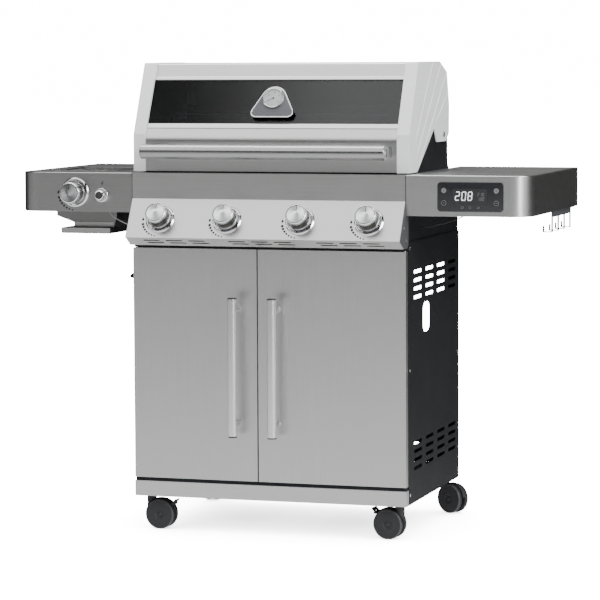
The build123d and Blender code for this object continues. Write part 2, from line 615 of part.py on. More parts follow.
for tag, (stem_x, stem_y, heading) in CASTORS.items():
    along = Vector(math.cos(math.radians(heading)), math.sin(math.radians(heading)), 0)
    across = Vector(along.Y, -along.X, 0)
    side = Plane(origin=(stem_x, stem_y, 0), x_dir=along, z_dir=across)
    pivot = (TRAIL + LEVER_ORBIT * math.cos(LEVER_AT), WHEEL_R + LEVER_ORBIT * math.sin(LEVER_AT))
    with BuildPart() as housing:
        with BuildSketch(side):
            with Locations((TRAIL, WHEEL_R)):
                Circle(WEB_R)
            with Locations((TRAIL, 18)):
                Rectangle(120, 50, mode=Mode.SUBTRACT)
            with Locations((TRAIL, WHEEL_R)):
                Circle(11)
        extrude(amount=WEB, both=True)
        rod((stem_x, stem_y, 46), (stem_x, stem_y, 87.2), 12)
        for face in (-1, 1):
            with BuildSketch(side.offset(face * WEB)):
                with Locations((TRAIL, WHEEL_R)):
                    Circle(39.6)
            extrude(amount=face * 22, mode=Mode.SUBTRACT)
        rod((stem_x, stem_y, 87.2), (stem_x, stem_y, 112), 5.5)
        with BuildSketch(side):
            with Locations((TRAIL, WHEEL_R)):
                Circle(4.06)
        extrude(amount=12, both=True, mode=Mode.SUBTRACT)
        if tag.startswith("front"):
            with BuildSketch(side):
                with Locations(pivot):
                    Circle(4.6)
            extrude(amount=WEB, both=True)
            with BuildSketch(side):
                with Locations(pivot):
                    Circle(1.5)
            extrude(amount=15, both=True)
    save(housing, f"castor_housing_{tag}")
    with BuildPart() as wheels:
        for face in (-1, 1):
            with BuildSketch(side.offset(face * WHEEL_IN)):
                with Locations((TRAIL, WHEEL_R)):
                    Circle(WHEEL_R)
            extrude(amount=face * WHEEL_WIDE)
        fillet(wheels.edges().filter_by(GeomType.CIRCLE), 3)
        with BuildSketch(side):
            with Locations((TRAIL, WHEEL_R)):
                Circle(4)
        extrude(amount=8, both=True)
    save(wheels, f"castor_wheels_{tag}")
    if tag.startswith("front"):
        arm = Plane(origin=side.from_local_coords(Vector(*pivot, 0)), z_dir=across,
                    x_dir=side.x_dir * math.cos(LEVER_RISE) + Vector(0, 0, 1) * math.sin(LEVER_RISE))
        with BuildPart() as lever:
            with BuildSketch(side):
                with Locations(pivot):
                    Circle(LEVER_BARREL)
            with BuildSketch(arm):
                with Locations((7.5, 0.6)):
                    Rectangle(14, 3)
            extrude(amount=LEVER_HALF, both=True)
            with BuildSketch(side):
                with Locations(pivot):
                    Circle(5.4)
            extrude(amount=WEB + 0.3, both=True, mode=Mode.SUBTRACT)
            with BuildSketch(side):
                with Locations(pivot):
                    Circle(1.56)
            extrude(amount=15, both=True, mode=Mode.SUBTRACT)
        save(lever, f"brake_lever_{tag}")

# ---- fasteners ----------------------------------------------------------------------------
SIDE_SCREWS = [(y, z) for y in (34, 514) for z in (112, 420, 720)]
with BuildPart() as fasteners:
    for hand in (-1, 1):
        rod((hand * FRAME_OUT, *LID_AXIS), (hand * 358.3, *LID_AXIS), 4)
        rod((hand * 358.3, *LID_AXIS), (hand * 360.3, *LID_AXIS), 7.5)
        rod((hand * DOOR_PIN[0], DOOR_PIN[1], 706), (hand * DOOR_PIN[0], DOOR_PIN[1], 715), 3)
        rod((hand * DOOR_PIN[0], DOOR_PIN[1], 134), (hand * DOOR_PIN[0], DOOR_PIN[1], 142), 3)
        for y, z in SIDE_SCREWS:
            rod((hand * CAB_HALF, y, z), (hand * (CAB_HALF + 1.6), y, z), 4)
        for y, z in ((-16, 772), (4, 742)):
            rod((hand * 354, y, z), (hand * 355.6, y, z), 4)
save(fasteners, "fasteners")
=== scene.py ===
import json
import math

import bmesh
import bpy
import numpy as np
from mathutils import Euler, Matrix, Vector

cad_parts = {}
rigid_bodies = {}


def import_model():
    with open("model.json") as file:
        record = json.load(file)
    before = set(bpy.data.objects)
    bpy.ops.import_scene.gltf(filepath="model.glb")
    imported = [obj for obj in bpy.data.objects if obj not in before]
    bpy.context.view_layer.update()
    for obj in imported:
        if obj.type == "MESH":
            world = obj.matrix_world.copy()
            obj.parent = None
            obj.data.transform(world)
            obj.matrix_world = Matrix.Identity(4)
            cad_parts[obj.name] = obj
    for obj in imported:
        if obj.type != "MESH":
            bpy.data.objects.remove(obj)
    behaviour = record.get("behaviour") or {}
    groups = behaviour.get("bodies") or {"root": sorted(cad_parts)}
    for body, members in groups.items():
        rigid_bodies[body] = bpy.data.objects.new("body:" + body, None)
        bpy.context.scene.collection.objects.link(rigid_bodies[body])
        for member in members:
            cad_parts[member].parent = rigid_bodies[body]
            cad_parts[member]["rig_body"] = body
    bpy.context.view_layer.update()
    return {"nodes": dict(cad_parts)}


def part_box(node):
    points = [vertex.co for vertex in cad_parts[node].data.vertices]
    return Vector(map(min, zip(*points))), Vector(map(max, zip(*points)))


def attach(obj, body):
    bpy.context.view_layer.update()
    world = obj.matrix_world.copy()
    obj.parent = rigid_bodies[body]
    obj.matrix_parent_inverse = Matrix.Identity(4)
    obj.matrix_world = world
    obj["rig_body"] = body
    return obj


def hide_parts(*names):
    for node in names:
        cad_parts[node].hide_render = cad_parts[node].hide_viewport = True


bl_info = {
    "name": "Gas barbecue grill",
    "version": (1, 0, 0),
    "blender": (4, 5, 0),
    "location": "3D View > Sidebar > Grill",
    "description": "Builds the looks of a four-burner gas barbecue grill around its packed frame",
    "category": "Add Mesh",
}

# ---- frame --------------------------------------------------------------------------------
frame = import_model()

MM = 0.001
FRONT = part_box("plinth_panel")[0].y      # the doors' front plane


def at(x, y, z):
    """Metres in the frame, from millimetres across, back from the door fronts and up from the floor."""
    x, y, z = np.broadcast_arrays(x, y, z)
    return np.stack([x * MM, FRONT + y * MM, z * MM], -1)


class Place:
    """A work plane: an origin in metres, u to its right, v up it and n out of it."""

    def __init__(self, origin, u, v):
        self.origin = np.array(origin, float)
        self.u = np.array(u, float) / np.linalg.norm(u)
        self.v = np.array(v, float) / np.linalg.norm(v)
        self.n = np.cross(self.u, self.v)

    def put(self, u, v, n=0.0):
        """Points at u, v, n millimetres: origin + u U + v V + n N."""
        u, v, n = np.broadcast_arrays(*[np.asarray(value, float) for value in (u, v, n)])
        return self.origin + MM * (u[..., None] * self.u + v[..., None] * self.v + n[..., None] * self.n)

    def moved(self, u=0.0, v=0.0, n=0.0):
        return Place(self.put(u, v, n), self.u, self.v)


RIGHT, BACK, UP = (1, 0, 0), (0, 1, 0), (0, 0, 1)
PANEL_LEAN = math.atan2(52, 94)          # the control panel, from upright
LID_LEAN = math.atan2(56, 108)           # the window, from upright


def leaning(origin, lean):
    """A plane that faces forward and leans back by an angle."""
    return Place(origin, RIGHT, (0, math.sin(lean), math.cos(lean)))


def along(start, end, across=UP):
    """A plane at start whose n axis points to end, and the distance between them in mm."""
    run = np.asarray(end, float) - np.asarray(start, float)
    length = np.linalg.norm(run)
    axis = run / length
    if abs(np.dot(axis, across)) > 0.95:
        across = RIGHT
    u = np.cross(across, axis)
    return Place(start, u, np.cross(axis, u / np.linalg.norm(u))), length / MM


def upright(x):
    """A plane across the grill at x mm: u back, v up, n to the right."""
    return Place(at(x, 0, 0), BACK, UP)


WINDOW = leaning(at(0, 38, 1020), LID_LEAN)
DIAL = WINDOW.moved(0, 65)
KNOB_X = {"1": -269, "2": -94, "3": 94, "4": 269}
KNOBS = {tag: leaning(at(x, -30.66, 786), PANEL_LEAN) for tag, x in KNOB_X.items()}
KNOBS["side"] = leaning(at(-506, -3, 850), 0)
IGNITER = leaning(at(-433, -3, 843.6), 0)
DISPLAY = leaning(at(514.5, -3, 848.5), 0)


# ---- outlines -----------------------------------------------------------------------------
def rounded(corners, radii, closed=True, steps=6):
    """The corners' outline, with each corner that has a radius cut by an arc tangent to both sides."""
    corners = np.array(corners, float)
    radii = np.broadcast_to(radii, len(corners))
    done = []
    for i, (corner, radius) in enumerate(zip(corners, radii)):
        ends = not closed and i in (0, len(corners) - 1)
        if ends or radius <= 0:
            done.append(corner[None])
            continue
        before = corners[i - 1] - corner
        after = corners[(i + 1) % len(corners)] - corner
        before, after = before / np.linalg.norm(before), after / np.linalg.norm(after)
        half = math.acos(np.clip(before @ after, -1, 1)) / 2
        middle = before + after
        centre = corner + middle / np.linalg.norm(middle) * radius / math.sin(half)
        first = corner + before * radius / math.tan(half) - centre
        last = corner + after * radius / math.tan(half) - centre
        turn = math.pi - 2 * half
        s = np.linspace(0, 1, steps + 1)[:, None]
        done.append(centre + (np.sin((1 - s) * turn) * first + np.sin(s * turn) * last) / math.sin(turn))
    return np.concatenate(done)


def box_outline(width, height, radius, steps=6):
    """A rectangle about the origin with rounded corners."""
    w, h = width / 2, height / 2
    return rounded([(-w, -h), (w, -h), (w, h), (-w, h)], radius, steps=steps)


def circle_outline(radius, steps=48, start=0.0, sweep=2 * math.pi):
    angle = start + np.arange(steps) * sweep / steps
    return radius * np.stack([np.cos(angle), np.sin(angle)], -1)


def slot_outline(length, width, angle=0.0, steps=10):
    """A bar with half-round ends, turned by an angle."""
    s = np.linspace(-math.pi / 2, math.pi / 2, steps)
    end = np.stack([np.cos(s), np.sin(s)], -1) * width / 2 + ((length - width) / 2, 0)
    both = np.concatenate([end, -end])
    c, q = math.cos(angle), math.sin(angle)
    return both @ np.array([(c, q), (-q, c)])


def inset(outline, amount):
    """Each point moved inwards by amount along its mitre: p - a m, m = (n1 + n2) / (1 + n1.n2)."""
    side = np.roll(outline, -1, 0) - outline
    side = side / np.linalg.norm(side, axis=1, keepdims=True)
    out = np.stack([side[:, 1], -side[:, 0]], -1)
    before = np.roll(out, 1, 0)
    mitre = (out + before) / (1 + np.sum(out * before, 1, keepdims=True))
    turn = np.sum(outline[:, 0] * np.roll(outline[:, 1], -1) - outline[:, 1] * np.roll(outline[:, 0], -1))
    return outline - amount * math.copysign(1, turn) * mitre


def sheet_outline(path, gauge):
    """A folded path given a thickness: the path, then the same path moved aside by the gauge, backwards."""
    step = np.diff(path, axis=0)
    step = step / np.linalg.norm(step, axis=1, keepdims=True)
    side = np.stack([step[:, 1], -step[:, 0]], -1)
    before, after = np.concatenate([side[:1], side]), np.concatenate([side, side[-1:]])
    mitre = (before + after) / (1 + np.sum(before * after, 1, keepdims=True))
    return np.concatenate([path, (path + gauge * mitre)[::-1]])


# ---- meshes -------------------------------------------------------------------------------
class Shape:
    """Closed surfaces gathered for one mesh, each an array of points with its faces and its finish number."""

    def __init__(self):
        self.points, self.faces, self.paint, self.count = [], [], [], 0

    def add(self, points, faces, paint=0):
        points = np.asarray(points, float).reshape(-1, 3)
        self.faces += (np.asarray(faces) + self.count).tolist()
        self.paint += [paint] * len(faces)
        self.points.append(points)
        self.count += len(points)
        return self

    def surface(self, points, paint=0, ends=False, caps=False):
        """A grid of points as quads. Every row closes on itself; ends joins the last row to the first."""
        rows, cols = points.shape[:2]
        i, j = np.meshgrid(np.arange(rows if ends else rows - 1), np.arange(cols), indexing="ij")
        after, beside = (i + 1) % rows, (j + 1) % cols
        quads = np.stack([i * cols + j, i * cols + beside, after * cols + beside, after * cols + j], -1)
        start = self.count
        self.add(points, quads.reshape(-1, 4), paint)
        if caps:
            last = start + (rows - 1) * cols
            self.faces += [list(range(start, start + cols))[::-1], list(range(last, last + cols))]
            self.paint += [paint] * 2
        return self

    def turned(self, profile, place, paint=0, steps=64, loop=False):
        """A profile of (radius, height) carried round the n axis: (r cos a, r sin a, h)."""
        angle = np.arange(steps) * 2 * math.pi / steps
        r, h = np.array(profile, float).T
        grid = place.put(r[:, None] * np.cos(angle), r[:, None] * np.sin(angle), h[:, None] + 0 * angle)
        return self.surface(grid, paint, ends=loop)

    def plate(self, outline, place, low, high, edge=0.5, paint=0, steps=3):
        """An outline given thickness: rings at inset e (1 - sin a), height e (1 - cos a), then caps."""
        a = np.linspace(0, math.pi / 2, steps + 1)
        e = min(edge, abs(high - low) / 2.02)
        shrink = np.concatenate([e * (1 - np.sin(a)), e * (1 - np.sin(a))[::-1]])
        height = np.concatenate([low + e * (1 - np.cos(a)), high - e * (1 - np.cos(a))[::-1]])
        rings = np.stack([inset(outline, amount) for amount in shrink])
        return self.surface(place.put(rings[..., 0], rings[..., 1], height[:, None]), paint, caps=True)

    def ring(self, outer, inner, place, low, high, edge=0.4, paint=0):
        """A frame between two outlines with as many points, its four rims rounded by edge."""
        a = np.linspace(0, math.pi / 2, 4)
        e = min(edge, abs(high - low) / 2.02)
        shrink, lift = e * (1 - np.sin(a)), e * (1 - np.cos(a))
        rows = [(inset(outer, s), low + t) for s, t in zip(shrink, lift)]
        rows += [(inset(outer, s), high - t) for s, t in zip(shrink[::-1], lift[::-1])]
        rows += [(inset(inner, -s), high - t) for s, t in zip(shrink, lift)]
        rows += [(inset(inner, -s), low + t) for s, t in zip(shrink[::-1], lift[::-1])]
        flat = np.stack([row for row, _ in rows])
        height = np.array([level for _, level in rows])[:, None]
        return self.surface(place.put(flat[..., 0], flat[..., 1], height), paint, ends=True)

    def rod(self, start, end, radius, edge=0.5, paint=0, steps=24):
        """A round bar between two points in metres, its two rims chamfered."""
        place, length = along(start, end)
        profile = [(0, 0), (radius - edge, 0), (radius, edge), (radius, length - edge),
                   (radius - edge, length), (0, length)]
        return self.turned(profile, place, paint, steps)

    def carried(self, path, section, across, paint=0):
        """A closed section carried along a path in metres: p + s side + t lift, with side = across x tangent."""
        tangent = np.gradient(path, axis=0)
        tangent = tangent / np.linalg.norm(tangent, axis=1, keepdims=True)
        side = np.cross(np.array(across, float), tangent)
        side = side / np.linalg.norm(side, axis=1, keepdims=True)
        lift = np.cross(tangent, side)
        grid = path[:, None] + MM * (section[None, :, :1] * side[:, None] + section[None, :, 1:] * lift[:, None])
        return self.surface(grid, paint, caps=True)


def round_profile(radius, low, high, edge, steps=4):
    """The (radius, height) profile of a disc whose two rims are rounded by edge."""
    a = np.linspace(0, math.pi / 2, steps + 1)
    under = np.stack([radius - edge + edge * np.sin(a), low + edge - edge * np.cos(a)], -1)
    over = np.stack([radius - edge + edge * np.cos(a), high - edge + edge * np.sin(a)], -1)
    return np.concatenate([[(0, low)], under, over, [(0, high)]])


def finished(name, mesh, finishes, body, nodes, crease):
    """Shade a mesh, give it its finishes, and hang it on its body in place of its CAD nodes."""
    mesh.polygons.foreach_set("use_smooth", np.ones(len(mesh.polygons), bool))
    mesh.set_sharp_from_angle(angle=math.radians(crease))
    for label in finishes:
        mesh.materials.append(finish(label))
    made = bpy.data.objects.new(name, mesh)
    bpy.context.scene.collection.objects.link(made)
    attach(made, body)
    if nodes:
        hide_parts(*nodes)
    return made


def piece(name, shape, finishes, body, nodes=(), crease=32, spun=None):
    """One mesh from a shape, its poles and seams closed and its faces turned outwards."""
    mesh = bpy.data.meshes.new(name)
    mesh.from_pydata(np.concatenate(shape.points), [], shape.faces)
    mesh.polygons.foreach_set("material_index", shape.paint)
    work = bmesh.new()
    work.from_mesh(mesh)
    bmesh.ops.remove_doubles(work, verts=work.verts, dist=2e-6)
    bmesh.ops.dissolve_degenerate(work, edges=work.edges, dist=1e-7)
    bmesh.ops.recalc_face_normals(work, faces=work.faces)
    work.to_mesh(mesh)
    work.free()
    if spun is not None:
        turning_map(mesh, spun)
    return finished(name, mesh, finishes, body, nodes, crease)


def turning_map(mesh, place):
    """A UV map that runs round the place's axis: u = angle / 2 pi, v = radius + height, in metres."""
    points = np.empty(len(mesh.vertices) * 3, np.float32)
    mesh.vertices.foreach_get("co", points)
    local = points.reshape(-1, 3) - place.origin
    x, y, h = local @ place.u, local @ place.v, local @ place.n
    corner = np.empty(len(mesh.loops), np.int32)
    mesh.loops.foreach_get("vertex_index", corner)
    sizes = np.empty(len(mesh.polygons), np.int32)
    mesh.polygons.foreach_get("loop_total", sizes)
    face = np.repeat(np.arange(len(sizes)), sizes)
    middle = np.arctan2(np.bincount(face, y[corner]), np.bincount(face, x[corner]))[face]
    turn = np.arctan2(y, x)[corner] - middle
    turn = middle + (turn + math.pi) % (2 * math.pi) - math.pi
    layer = mesh.uv_layers.new(name="turned")
    layer.data.foreach_set("uv", np.stack([turn / (2 * math.pi), np.hypot(x, y)[corner] + h[corner]], -1).ravel())


def eased(node, finishes, edge=0.4, segments=2):
    """A CAD node's own shape with its loose triangles merged and its sharp edges rounded over."""
    source = frame["nodes"][node]
    mesh = source.data.copy()
    mesh.materials.clear()
    work = bmesh.new()
    work.from_mesh(mesh)
    bmesh.ops.remove_doubles(work, verts=work.verts, dist=2e-6)
    bmesh.ops.dissolve_limit(work, angle_limit=math.radians(0.6), verts=work.verts, edges=work.edges)
    work.to_mesh(mesh)
    work.free()
    made = finished(node + "_form", mesh, finishes, source["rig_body"], [node], 20)
    bevel = made.modifiers.new("rounded edges", "BEVEL")
    bevel.width = edge * MM
    bevel.segments = segments
    bevel.limit_method = "ANGLE"
    bevel.angle_limit = math.radians(50)
    bevel.use_clamp_overlap = True
    bevel.harden_normals = True
    return made


def dressed(label, *nodes):
    """CAD nodes kept as they are, with a finish."""
    for node in nodes:
        mesh = frame["nodes"][node].data
        mesh.materials.clear()
        mesh.materials.append(finish(label))


# ---- effects shared by the finishes -------------------------------------------------------
def new_group(name, inputs, outputs):
    """An empty shader node group with named sockets: (name, socket type, default)."""
    group = bpy.data.node_groups.new(name, "ShaderNodeTree")
    for label, kind, value in inputs:
        socket = group.interface.new_socket(name=label, in_out="INPUT", socket_type=kind)
        socket.default_value = value
    for label, kind in outputs:
        group.interface.new_socket(name=label, in_out="OUTPUT", socket_type=kind)
    return group, group.nodes.new("NodeGroupInput"), group.nodes.new("NodeGroupOutput")


def joined(tree, start, out, end, into):
    tree.links.new(start.outputs[out], end.inputs[into])


def maths(tree, operation, first, second, clamp=False):
    """A Math node whose inputs are numbers or (node, output) pairs."""
    node = tree.nodes.new("ShaderNodeMath")
    node.operation = operation
    node.use_clamp = clamp
    for i, value in enumerate((first, second)):
        if isinstance(value, tuple):
            tree.links.new(value[0].outputs[value[1]], node.inputs[i])
        else:
            node.inputs[i].default_value = value
    return node


def smooth_range(tree, source, output, span, values):
    """A node that goes smoothly between two values as its input crosses a span."""
    node = tree.nodes.new("ShaderNodeMapRange")
    node.interpolation_type = "SMOOTHSTEP"
    for socket, value in zip(("From Min", "From Max", "To Min", "To Max"), (*span, *values)):
        node.inputs[socket].default_value = value
    joined(tree, source, output, node, "Value")
    return node


def axis_parts(tree, kind="Object"):
    """The coordinates of that kind, and a node that splits them into X, Y and Z."""
    coords = tree.nodes.new("ShaderNodeTexCoord")
    parts = tree.nodes.new("ShaderNodeSeparateXYZ")
    joined(tree, coords, kind, parts, 0)
    return coords, parts


def noise(tree, vector, scale, detail=2.0, roughness=0.5):
    node = tree.nodes.new("ShaderNodeTexNoise")
    node.inputs["Scale"].default_value = scale
    node.inputs["Detail"].default_value = detail
    node.inputs["Roughness"].default_value = roughness
    if vector is not None:
        tree.links.new(vector, node.inputs["Vector"])
    return node


def brushed_group():
    """Brushed lines: noise stretched along the brushing."""
    if "brushed lines" in bpy.data.node_groups:
        return bpy.data.node_groups["brushed lines"]
    inputs = [("Stretch", "NodeSocketVector", (3.0, 900.0, 900.0))]
    group, given, result = new_group("brushed lines", inputs, [("Lines", "NodeSocketFloat")])
    coords = group.nodes.new("ShaderNodeTexCoord")
    stretch = group.nodes.new("ShaderNodeVectorMath")
    stretch.operation = "MULTIPLY"
    joined(group, coords, "Object", stretch, 0)
    joined(group, given, "Stretch", stretch, 1)
    lines = noise(group, stretch.outputs[0], 1.0, 3.0, 0.65)
    joined(group, lines, "Fac", result, "Lines")
    return group


def grain_group():
    """A fine even tooth, as on powder coat, castings and moulded plastic."""
    if "fine tooth" in bpy.data.node_groups:
        return bpy.data.node_groups["fine tooth"]
    inputs = [("Scale", "NodeSocketFloat", 900.0)]
    outputs = [("Tooth", "NodeSocketFloat"), ("Cloud", "NodeSocketFloat")]
    group, given, result = new_group("fine tooth", inputs, outputs)
    coords = group.nodes.new("ShaderNodeTexCoord")
    tooth = noise(group, coords.outputs["Object"], 900.0, 2.0, 0.6)
    joined(group, given, "Scale", tooth, "Scale")
    cloud = noise(group, coords.outputs["Object"], 7.0, 2.0)
    joined(group, tooth, "Fac", result, "Tooth")
    joined(group, cloud, "Fac", result, "Cloud")
    return group


# turn of the painted bow-tie highlight on the spun faces
HIGHLIGHT_FAN_TURN = math.radians(-40)


def turning_group():
    """Rings left by turning, from the turned UV map's v, and a painted highlight round its u: a two-bladed fan,
    cos(2 a + t), standing in for the bow-tie reflection of spun metal.
    """
    if "turning rings" in bpy.data.node_groups:
        return bpy.data.node_groups["turning rings"]
    inputs = [("Pitch", "NodeSocketFloat", 2500.0)]
    outputs = [("Rings", "NodeSocketFloat"), ("Highlight fan", "NodeSocketFloat")]
    group, given, result = new_group("turning rings", inputs, outputs)
    coords = group.nodes.new("ShaderNodeUVMap")
    coords.uv_map = "turned"
    parts = group.nodes.new("ShaderNodeSeparateXYZ")
    joined(group, coords, "UV", parts, 0)
    line = group.nodes.new("ShaderNodeTexNoise")
    line.noise_dimensions = "1D"
    line.inputs["Detail"].default_value = 2.0
    scaled = maths(group, "MULTIPLY", (parts, "Y"), 1.0)
    joined(group, given, "Pitch", scaled, 1)
    joined(group, scaled, 0, line, "W")
    joined(group, line, "Fac", result, "Rings")
    twice = maths(group, "MULTIPLY_ADD", (parts, "X"), 4 * math.pi)
    twice.inputs[2].default_value = HIGHLIGHT_FAN_TURN
    wave = maths(group, "COSINE", (twice, 0), 0.0)
    highlight_fan = maths(group, "MULTIPLY_ADD", (wave, 0), 0.5)
    highlight_fan.inputs[2].default_value = 0.5
    joined(group, highlight_fan, 0, result, "Highlight fan")
    return group


class Finish:
    """A Principled material under construction."""

    def __init__(self, name, color, roughness, metallic=0.0, **sockets):
        self.material = bpy.data.materials.new(name)
        self.material.use_nodes = True
        self.tree = self.material.node_tree
        self.shader = self.tree.nodes["Principled BSDF"]
        self.set("Base Color", (*color, 1.0))
        self.set("Roughness", roughness)
        self.set("Metallic", metallic)
        for socket, value in sockets.items():
            self.set(socket.replace("_", " "), value)

    def set(self, socket, value):
        self.shader.inputs[socket].default_value = value

    def group(self, tree, **values):
        node = self.tree.nodes.new("ShaderNodeGroup")
        node.node_tree = tree
        for socket, value in values.items():
            node.inputs[socket].default_value = value
        return node

    def tint(self, mask, low, high, socket="Base Color"):
        """A colour between two, by a (node, output) mask."""
        ramp = self.tree.nodes.new("ShaderNodeMix")
        ramp.data_type = "RGBA"
        ramp.inputs["A"].default_value = (*low, 1.0)
        ramp.inputs["B"].default_value = (*high, 1.0)
        self.tree.links.new(mask[0].outputs[mask[1]], ramp.inputs["Factor"])
        self.tree.links.new(ramp.outputs["Result"], self.shader.inputs[socket])

    def vary(self, socket, mask, low, high):
        """A number between two, by a (node, output) mask."""
        span = maths(self.tree, "MULTIPLY_ADD", mask, high - low)
        span.inputs[2].default_value = low
        self.tree.links.new(span.outputs[0], self.shader.inputs[socket])

    def bump(self, mask, strength, distance):
        node = self.tree.nodes.new("ShaderNodeBump")
        node.inputs["Strength"].default_value = strength
        node.inputs["Distance"].default_value = distance
        self.tree.links.new(mask[0].outputs[mask[1]], node.inputs["Height"])
        self.tree.links.new(node.outputs["Normal"], self.shader.inputs["Normal"])


def shade(color, factor):
    return tuple(min(1.0, channel * factor) for channel in color)


# ---- finishes -----------------------------------------------------------------------------
ALONG_X, ALONG_Z = (4.0, 700.0, 700.0), (700.0, 700.0, 4.0)


def brushed_steel(name, color, stretch, roughness=0.30, spread=0.10):
    made = Finish(name, color, roughness, 1.0)
    effect = made.group(brushed_group(), Stretch=stretch)
    made.tint((effect, "Lines"), shade(color, 0.90), shade(color, 1.10))
    made.vary("Roughness", (effect, "Lines"), roughness - spread / 2, roughness + spread / 2)
    made.bump((effect, "Lines"), 0.06, 0.0002)
    return made.material


def toothed(name, color, roughness, scale=900.0, metallic=0.0, depth=0.15, contrast=0.25, **sockets):
    made = Finish(name, color, roughness, metallic, **sockets)
    effect = made.group(grain_group(), Scale=scale)
    made.tint((effect, "Cloud"), shade(color, 1 - contrast), shade(color, 1 + contrast))
    made.vary("Roughness", (effect, "Tooth"), roughness * 0.8, min(1.0, roughness * 1.2))
    made.bump((effect, "Tooth"), depth, 0.0004)
    return made.material


def spun_metal(name, color, roughness, highlight_fan=1.0):
    made = Finish(name, color, roughness, 1.0, Anisotropic=0.75)
    effect = made.group(turning_group(), Pitch=2600.0)
    # painted highlight: the colour is darker outside the two blades of the fan, a bow-tie reflection painted into
    # the colour
    made.tint((effect, "Highlight fan"), shade(color, highlight_fan), color)
    made.vary("Roughness", (effect, "Rings"), roughness * 0.8, roughness * 1.3)
    made.bump((effect, "Rings"), 0.05, 0.0002)
    tangent = made.tree.nodes.new("ShaderNodeTangent")
    tangent.direction_type = "UV_MAP"
    tangent.uv_map = "turned"
    made.tree.links.new(tangent.outputs[0], made.shader.inputs["Tangent"])
    return made.material


REFLECTION_SPAN, REFLECTION_IOR = (-0.34, 0.22), (1.15, 1.55)      # across the window in metres, and its index there: a painted reflection, stronger towards the right end


def smoked_glass():
    """Smoked glass with a painted reflection: its index rises towards its right end, so it reflects more there.
    """
    made = Finish("smoked_glass", (0.12, 0.13, 0.14), 0.02, 0.0, Transmission_Weight=1.0, IOR=1.5)
    # painted reflection: the index, and so the glass's reflection, grows from left to right across the window
    painted_reflection = smooth_range(made.tree, axis_parts(made.tree)[1], "X", REFLECTION_SPAN, REFLECTION_IOR)
    joined(made.tree, painted_reflection, "Result", made.shader, "IOR")
    return made.material


def clear_glass():
    return Finish("dial_glass", (0.98, 0.99, 0.99), 0.01, 0.0, Transmission_Weight=1.0, IOR=1.45).material


def lit_digits():
    made = Finish("lit_digits", (0.8, 0.82, 0.84), 0.5)
    made.set("Emission Color", (0.9, 0.93, 0.95, 1.0))
    made.set("Emission Strength", 0.9)
    return made.material


def finish(name):
    """The material of that name, made the first time it is asked for."""
    if name in bpy.data.materials:
        return bpy.data.materials[name]
    colors = bpy.context.scene.grill_colors
    steel, iron = tuple(colors.stainless), tuple(colors.iron)
    cast, coat, grey = tuple(colors.cast), tuple(colors.coat), tuple(colors.grey)
    plastic = tuple(colors.plastic)
    recipes = {
        "steel_across": lambda: brushed_steel(name, steel, ALONG_X),
        "steel_upright": lambda: brushed_steel(name, steel, ALONG_Z, 0.34),
        "steel_inner": lambda: brushed_steel(name, shade(steel, 0.75), ALONG_X, 0.42, 0.14),
        # painted shade: a darker copy of the stainless for the lid handle, standing in for its dark reflection
        "steel_handle_painted_shade": lambda: brushed_steel(name, shade(steel, 0.60), ALONG_X, 0.27, 0.06),
        # painted light: a lighter copy of the stainless for the door bars, standing in for their highlights
        "steel_bar_painted_light": lambda: brushed_steel(name, shade(steel, 1.2), ALONG_Z, 0.20, 0.06),
        "black_coat": lambda: toothed(name, coat, 0.5, 1300.0, Specular_IOR_Level=0.12),
        "grey_coat": lambda: toothed(name, grey, 0.42, 1300.0),
        # painted shade: a darker copy of the stainless for the side burner's box under the left shelf
        "steel_box_painted_shade": lambda: brushed_steel(name, shade(steel, 0.50), ALONG_X, 0.36),
        # painted shade: a darker copy of the stainless for the left shelf, which lies in less light
        "steel_left_painted_shade": lambda: brushed_steel(name, shade(steel, 0.72), ALONG_X),
        "cast_silver": lambda: toothed(name, cast, 0.36, 1500.0, 0.0, 0.10, 0.02),
        "cast_iron": lambda: toothed(name, iron, 0.62, 600.0, 0.0, 0.35, 0.3),
        "chrome": lambda: toothed(name, (0.82, 0.83, 0.84), 0.08, 300.0, 1.0, 0.01, 0.03),
        "spun_chrome": lambda: spun_metal(name, (0.86, 0.87, 0.89), 0.16),
        # the knob faces carry the painted bow-tie highlight, darkened to 0.32 between its blades
        "spun_face": lambda: spun_metal(name, (0.97, 0.98, 1.0), 0.22, 0.32),
        # painted reflection: a dark copy of the spun metal for the knob bodies, where the chrome reflects dark
        # surroundings
        "spun_side_painted_dark": lambda: spun_metal(name, (0.17, 0.165, 0.155), 0.24),
        "smoked_glass": smoked_glass,
        "dial_glass": clear_glass,
        "gloss_black": lambda: toothed(name, (0.016, 0.017, 0.019), 0.10, 400.0, 0.0, 0.01, 0.2),
        "black_plastic": lambda: toothed(name, plastic, 0.40, 1000.0, 0.0, 0.12),
        "rim_plastic": lambda: toothed(name, shade(plastic, 3.2), 0.42, 1600.0, 0.0, 0.08),
        "tyre": lambda: toothed(name, shade(plastic, 1.2), 0.55, 1600.0, 0.0, 0.15),
        "grey_insulation": lambda: toothed(name, (0.50, 0.50, 0.49), 0.55, 2000.0),
        "black_insulation": lambda: toothed(name, (0.03, 0.03, 0.03), 0.5, 2000.0),
        "brass": lambda: toothed(name, (0.70, 0.52, 0.26), 0.30, 500.0, 1.0, 0.05, 0.1),
        "dial_card": lambda: toothed(name, (0.80, 0.81, 0.80), 0.6, 800.0, 0.0, 0.02, 0.03),
        "dark_print": lambda: toothed(name, (0.02, 0.02, 0.022), 0.5, 900.0, 0.0, 0.02, 0.1),
        "plate_grey": lambda: toothed(name, (0.10, 0.105, 0.115), 0.38, 1200.0, 0.3, 0.05, 0.1),
        "key_print": lambda: toothed(name, (0.17, 0.175, 0.18), 0.45, 900.0, 0.0, 0.02, 0.05),
        "lit_digits": lit_digits,
    }
    return recipes[name]()


